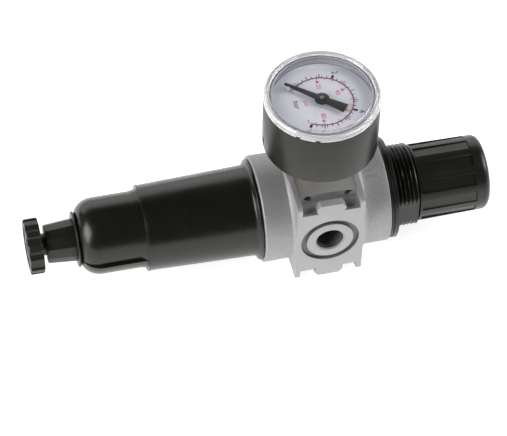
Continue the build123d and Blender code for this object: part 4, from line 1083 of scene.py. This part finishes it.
class REGULATOR_OT_dial(bpy.types.Operator):
    """Printed dial: a black scale in bar outside a red scale in psi."""

    bl_idname = "regulator.dial"
    bl_label = "Dial"

    def execute(self, context):
        size = context.scene.regulator_gauge
        tree = marks_tree()
        level = (dial_level() + PRINT_THICK / 2) * MM
        per_psi = size.per_bar / 14.504
        full = size.full_scale
        # Rows of marks: count, travel from one to the next, radius, length, width.
        bar_rows = (
            (5 * full, size.per_bar / 5, 11.8, 1.0, 0.26),
            (2 * full, size.per_bar / 2, 12.1, 1.5, 0.3),
            (full // 2, size.per_bar * 2, 12.35, 1.5, 0.95),
        )
        psi_rows = (
            (18, per_psi * 5, 10.6, 0.8, 0.26),
            (9, per_psi * 10, 10.5, 1.0, 0.3),
            (4, per_psi * 20, 9.2, 1.0, 1.1),
        )
        # Numbers: readings, travel for one, height, radius. Unit: word, height, radius, angle.
        bar_words = (range(2, full + 1, 2), size.per_bar, 2.1, 14.5), ("bar", 2.1, 9.1, radians(179))
        psi_words = (range(20, 81, 20), per_psi, 1.8, 7.0), ("psi", 1.9, 5.6, radians(178))
        # Arc: radius, width, travel to its end.
        bar_arc = (11.25, 0.3, size.per_bar * full)
        psi_arc = (10.95, 0.2, per_psi * 90)
        scales = (
            ("black", "ink_black", bar_arc, bar_rows, bar_words),
            ("red", "ink_red", psi_arc, psi_rows, psi_words),
        )
        for tint, ink, (arc_r, arc_width, arc_travel), rows, (numbers, unit) in scales:
            rows_made = []
            for count, step, radius, length, width in rows:
                made = empty_mesh(f"marks_{tint}_{count}", ink)
                values = {
                    "Count": count,
                    "From": size.zero - step,
                    "Step": step,
                    "Radius": radius * MM,
                    "Length": length * MM,
                    "Width": width * MM,
                    "Height": level,
                    "Centre X": PORT_X * MM,
                    "Material": MATERIALS[ink],
                }
                run_tree(made, tree, values)
                rows_made.append(made.data)
                bpy.data.objects.remove(made)
            first, last = size.zero - size.per_bar / 5, size.zero - arc_travel
            bm = arc_band(bmesh.new(), arc_r, arc_width, first, last, dial_level())
            arc = bpy.data.meshes.new("arc")
            bm.to_mesh(arc)
            bm.free()
            readings, travel, height, radius = numbers
            words = [
                written("n", str(value), height, radius, size.zero - value * travel, -pi / 2, ink)
                for value in readings
            ]
            words.append(written("unit", *unit, -pi / 2, ink))
            made = merged(f"scale_{tint}", [*rows_made, arc, *words], ink)
            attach(made, frame["nodes"]["gauge_dial"]["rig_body"])
        return {"FINISHED"}


class REGULATOR_OT_pointer(bpy.types.Operator):
    """Pointer with its counterweight, hub and bright rivet."""

    bl_idname = "regulator.pointer"
    bl_label = "Pointer"

    def execute(self, context):
        dressed("gauge_pointer", "needle", 0.08)
        top = high("gauge_pointer", "z")
        profile = softened(
            [(top - 0.3, 0.0), (top - 0.3, 0.75), (top, 0.7), (top, 0.28), (top - 0.12, 0.0, 0.0)], 0.08
        )
        made = turned_piece("pointer_rivet", "plated_steel", profile, place=on_gauge, angles=32)
        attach(made, frame["nodes"]["gauge_pointer"]["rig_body"])
        return {"FINISHED"}


class REGULATOR_OT_springs(bpy.types.Operator):
    """Main spring and valve spring, wound from round wire."""

    bl_idname = "regulator.springs"
    bl_label = "Springs"

    def execute(self, context):
        tree = spring_tree()
        # Node, name, turns, radius of the wire, joint that loads it.
        springs = (
            ("main_spring", "adjusting_spring", 6.0, 1.0, "spring_seat_travel"),
            ("valve_spring", "poppet_spring", 4.0, 0.3, "valve_travel"),
        )
        for node, name, turns, wire, joint in springs:
            bottom, top, outer = low(node, "x"), high(node, "x"), high(node, "z")
            made = empty_mesh(name, "spring_steel")
            values = {
                "Radius": (outer - wire) * MM,
                "Wire": wire * MM,
                "Turns": turns,
                "Height": (top - bottom - 2 * wire) * MM,
                "Start": (bottom + wire) * MM,
                "Material": MATERIALS["spring_steel"],
            }
            run_tree(made, tree, values)
            settle(made, node)
            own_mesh(made)
        return {"FINISHED"}


class REGULATOR_OT_inner(bpy.types.Operator):
    """Finishes for the CAD nodes that keep their own shape."""

    bl_idname = "regulator.inner"
    bl_label = "Inner pieces"

    def execute(self, context):
        for node, piece in frame["nodes"].items():
            piece.data.materials.clear()
            piece.data.materials.append(MATERIALS[SLOT_OF[node]])
        return {"FINISHED"}


# ------------------------------------------------------------------ stage
def soft_box(name, spot, target, width, height, power):
    """Rectangular soft light aimed at a point."""
    lamp = bpy.data.lights.new(name, "AREA")
    lamp.shape = "RECTANGLE"
    lamp.size, lamp.size_y, lamp.energy = width, height, power
    placed = bpy.data.objects.new(name, lamp)
    placed.location = spot
    placed.rotation_euler = (Vector(target) - Vector(spot)).to_track_quat("-Z", "Y").to_euler()
    bpy.context.scene.collection.objects.link(placed)


class REGULATOR_OT_stage(bpy.types.Operator):
    """Pale floor, soft studio light and the camera."""

    bl_idname = "regulator.stage"
    bl_label = "Stage"

    def execute(self, context):
        scene = context.scene
        size = scene.regulator_stage
        level = CAD_BOX[0].z
        bm = bmesh.new()
        half = 3.0
        corners = ((-half, -half), (half, -half), (half, half), (-half, half))
        bm.faces.new([bm.verts.new((x, y, level)) for x, y in corners])
        mesh = bpy.data.meshes.new("floor")
        bm.to_mesh(mesh)
        bm.free()
        paint, _, shader, _ = new_material("pale_floor", 0.9, Specular_IOR_Level=0.0)
        shader.inputs["Base Color"].default_value = (0.8, 0.8, 0.8, 1)
        shader.inputs["Emission Color"].default_value = (1, 1, 1, 1)
        shader.inputs["Emission Strength"].default_value = 0.8
        mesh.materials.append(paint)
        floor = bpy.data.objects.new("floor", mesh)
        scene.collection.objects.link(floor)

        world = bpy.data.worlds.new("studio")
        world.use_nodes = True
        sky = world.node_tree.nodes["Background"].inputs
        sky["Color"].default_value = (1, 1, 1, 1)
        sky["Strength"].default_value = 0.07
        scene.world = world
        centre = ((CAD_BOX[0] + CAD_BOX[1]) / 2).to_tuple()
        # Name, place, width and height in metres, power in watts.
        boxes = (
            ("light_left", (-1.3, -0.3, 0.6), 0.9, 0.9, 17.0),
            ("light_right", (1.25, -0.1, 0.8), 0.8, 0.8, 15.0),
            ("light_back", (0.0, 1.3, 0.55), 2.4, 0.85, 9.5),
        )
        for name, spot, width, height, power in boxes:
            soft_box(name, spot, centre, width, height, power)
        scene.view_settings.view_transform = "Standard"

        camera = bpy.data.cameras.new("camera")
        camera.lens, camera.sensor_width = 178.09, 36.0
        camera.clip_start, camera.clip_end = 0.05, 20.0
        eye = bpy.data.objects.new("camera", camera)
        scene.collection.objects.link(eye)
        flat = cos(size.elevation)
        back = Vector((sin(size.azimuth) * flat, -cos(size.azimuth) * flat, sin(size.elevation)))
        right = Vector((cos(size.azimuth), sin(size.azimuth), 0))
        turn = Matrix.Rotation(size.roll, 3, back)
        right = turn @ right
        up = back.cross(right)
        aim_along, aim_up = PORT_X - 23.64, -5.15
        aim = Vector((aim_along, 0, aim_up)) * MM
        pose = Matrix((right, up, back)).transposed().to_4x4()
        pose.translation = aim + back * size.distance
        eye.matrix_world = pose
        scene.camera = eye
        return {"FINISHED"}


class REGULATOR_PT_panel(bpy.types.Panel):
    """Lists the pieces and their settings."""

    bl_idname = "REGULATOR_PT_panel"
    bl_label = "Regulator"
    bl_space_type = "VIEW_3D"
    bl_region_type = "UI"
    bl_category = "Regulator"

    def draw(self, context):
        for name, group in SETTINGS.items():
            box = self.layout.box()
            box.label(text=group.__name__.replace("Regulator", ""))
            for prop in group.__annotations__:
                box.prop(getattr(context.scene, name), prop)
        for step in STEPS:
            self.layout.operator(step.bl_idname)


SETTINGS = {
    "regulator_finish": RegulatorFinish,
    "regulator_casting": RegulatorCasting,
    "regulator_bonnet": RegulatorBonnet,
    "regulator_knob": RegulatorKnob,
    "regulator_bowl": RegulatorBowl,
    "regulator_drain": RegulatorDrain,
    "regulator_gauge": RegulatorGauge,
    "regulator_stage": RegulatorStage,
}
STEPS = (
    REGULATOR_OT_casting,
    REGULATOR_OT_bonnet,
    REGULATOR_OT_knob,
    REGULATOR_OT_bowl,
    REGULATOR_OT_drain,
    REGULATOR_OT_gauge_shell,
    REGULATOR_OT_dial,
    REGULATOR_OT_pointer,
    REGULATOR_OT_springs,
    REGULATOR_OT_inner,
    REGULATOR_OT_stage,
)


def register():
    for group in SETTINGS.values():
        bpy.utils.register_class(group)
    for name, group in SETTINGS.items():
        setattr(bpy.types.Scene, name, PointerProperty(type=group))
    for step in STEPS:
        bpy.utils.register_class(step)
    bpy.utils.register_class(REGULATOR_PT_panel)


def unregister():
    bpy.utils.unregister_class(REGULATOR_PT_panel)
    for step in reversed(STEPS):
        bpy.utils.unregister_class(step)
    for name, group in SETTINGS.items():
        delattr(bpy.types.Scene, name)
        bpy.utils.unregister_class(group)


def main():
    register()
    make_materials(bpy.context.scene.regulator_finish)
    for step in STEPS:
        area, name = step.bl_idname.split(".")
        getattr(getattr(bpy.ops, area), name)()


if __name__ == "__main__":
    main()
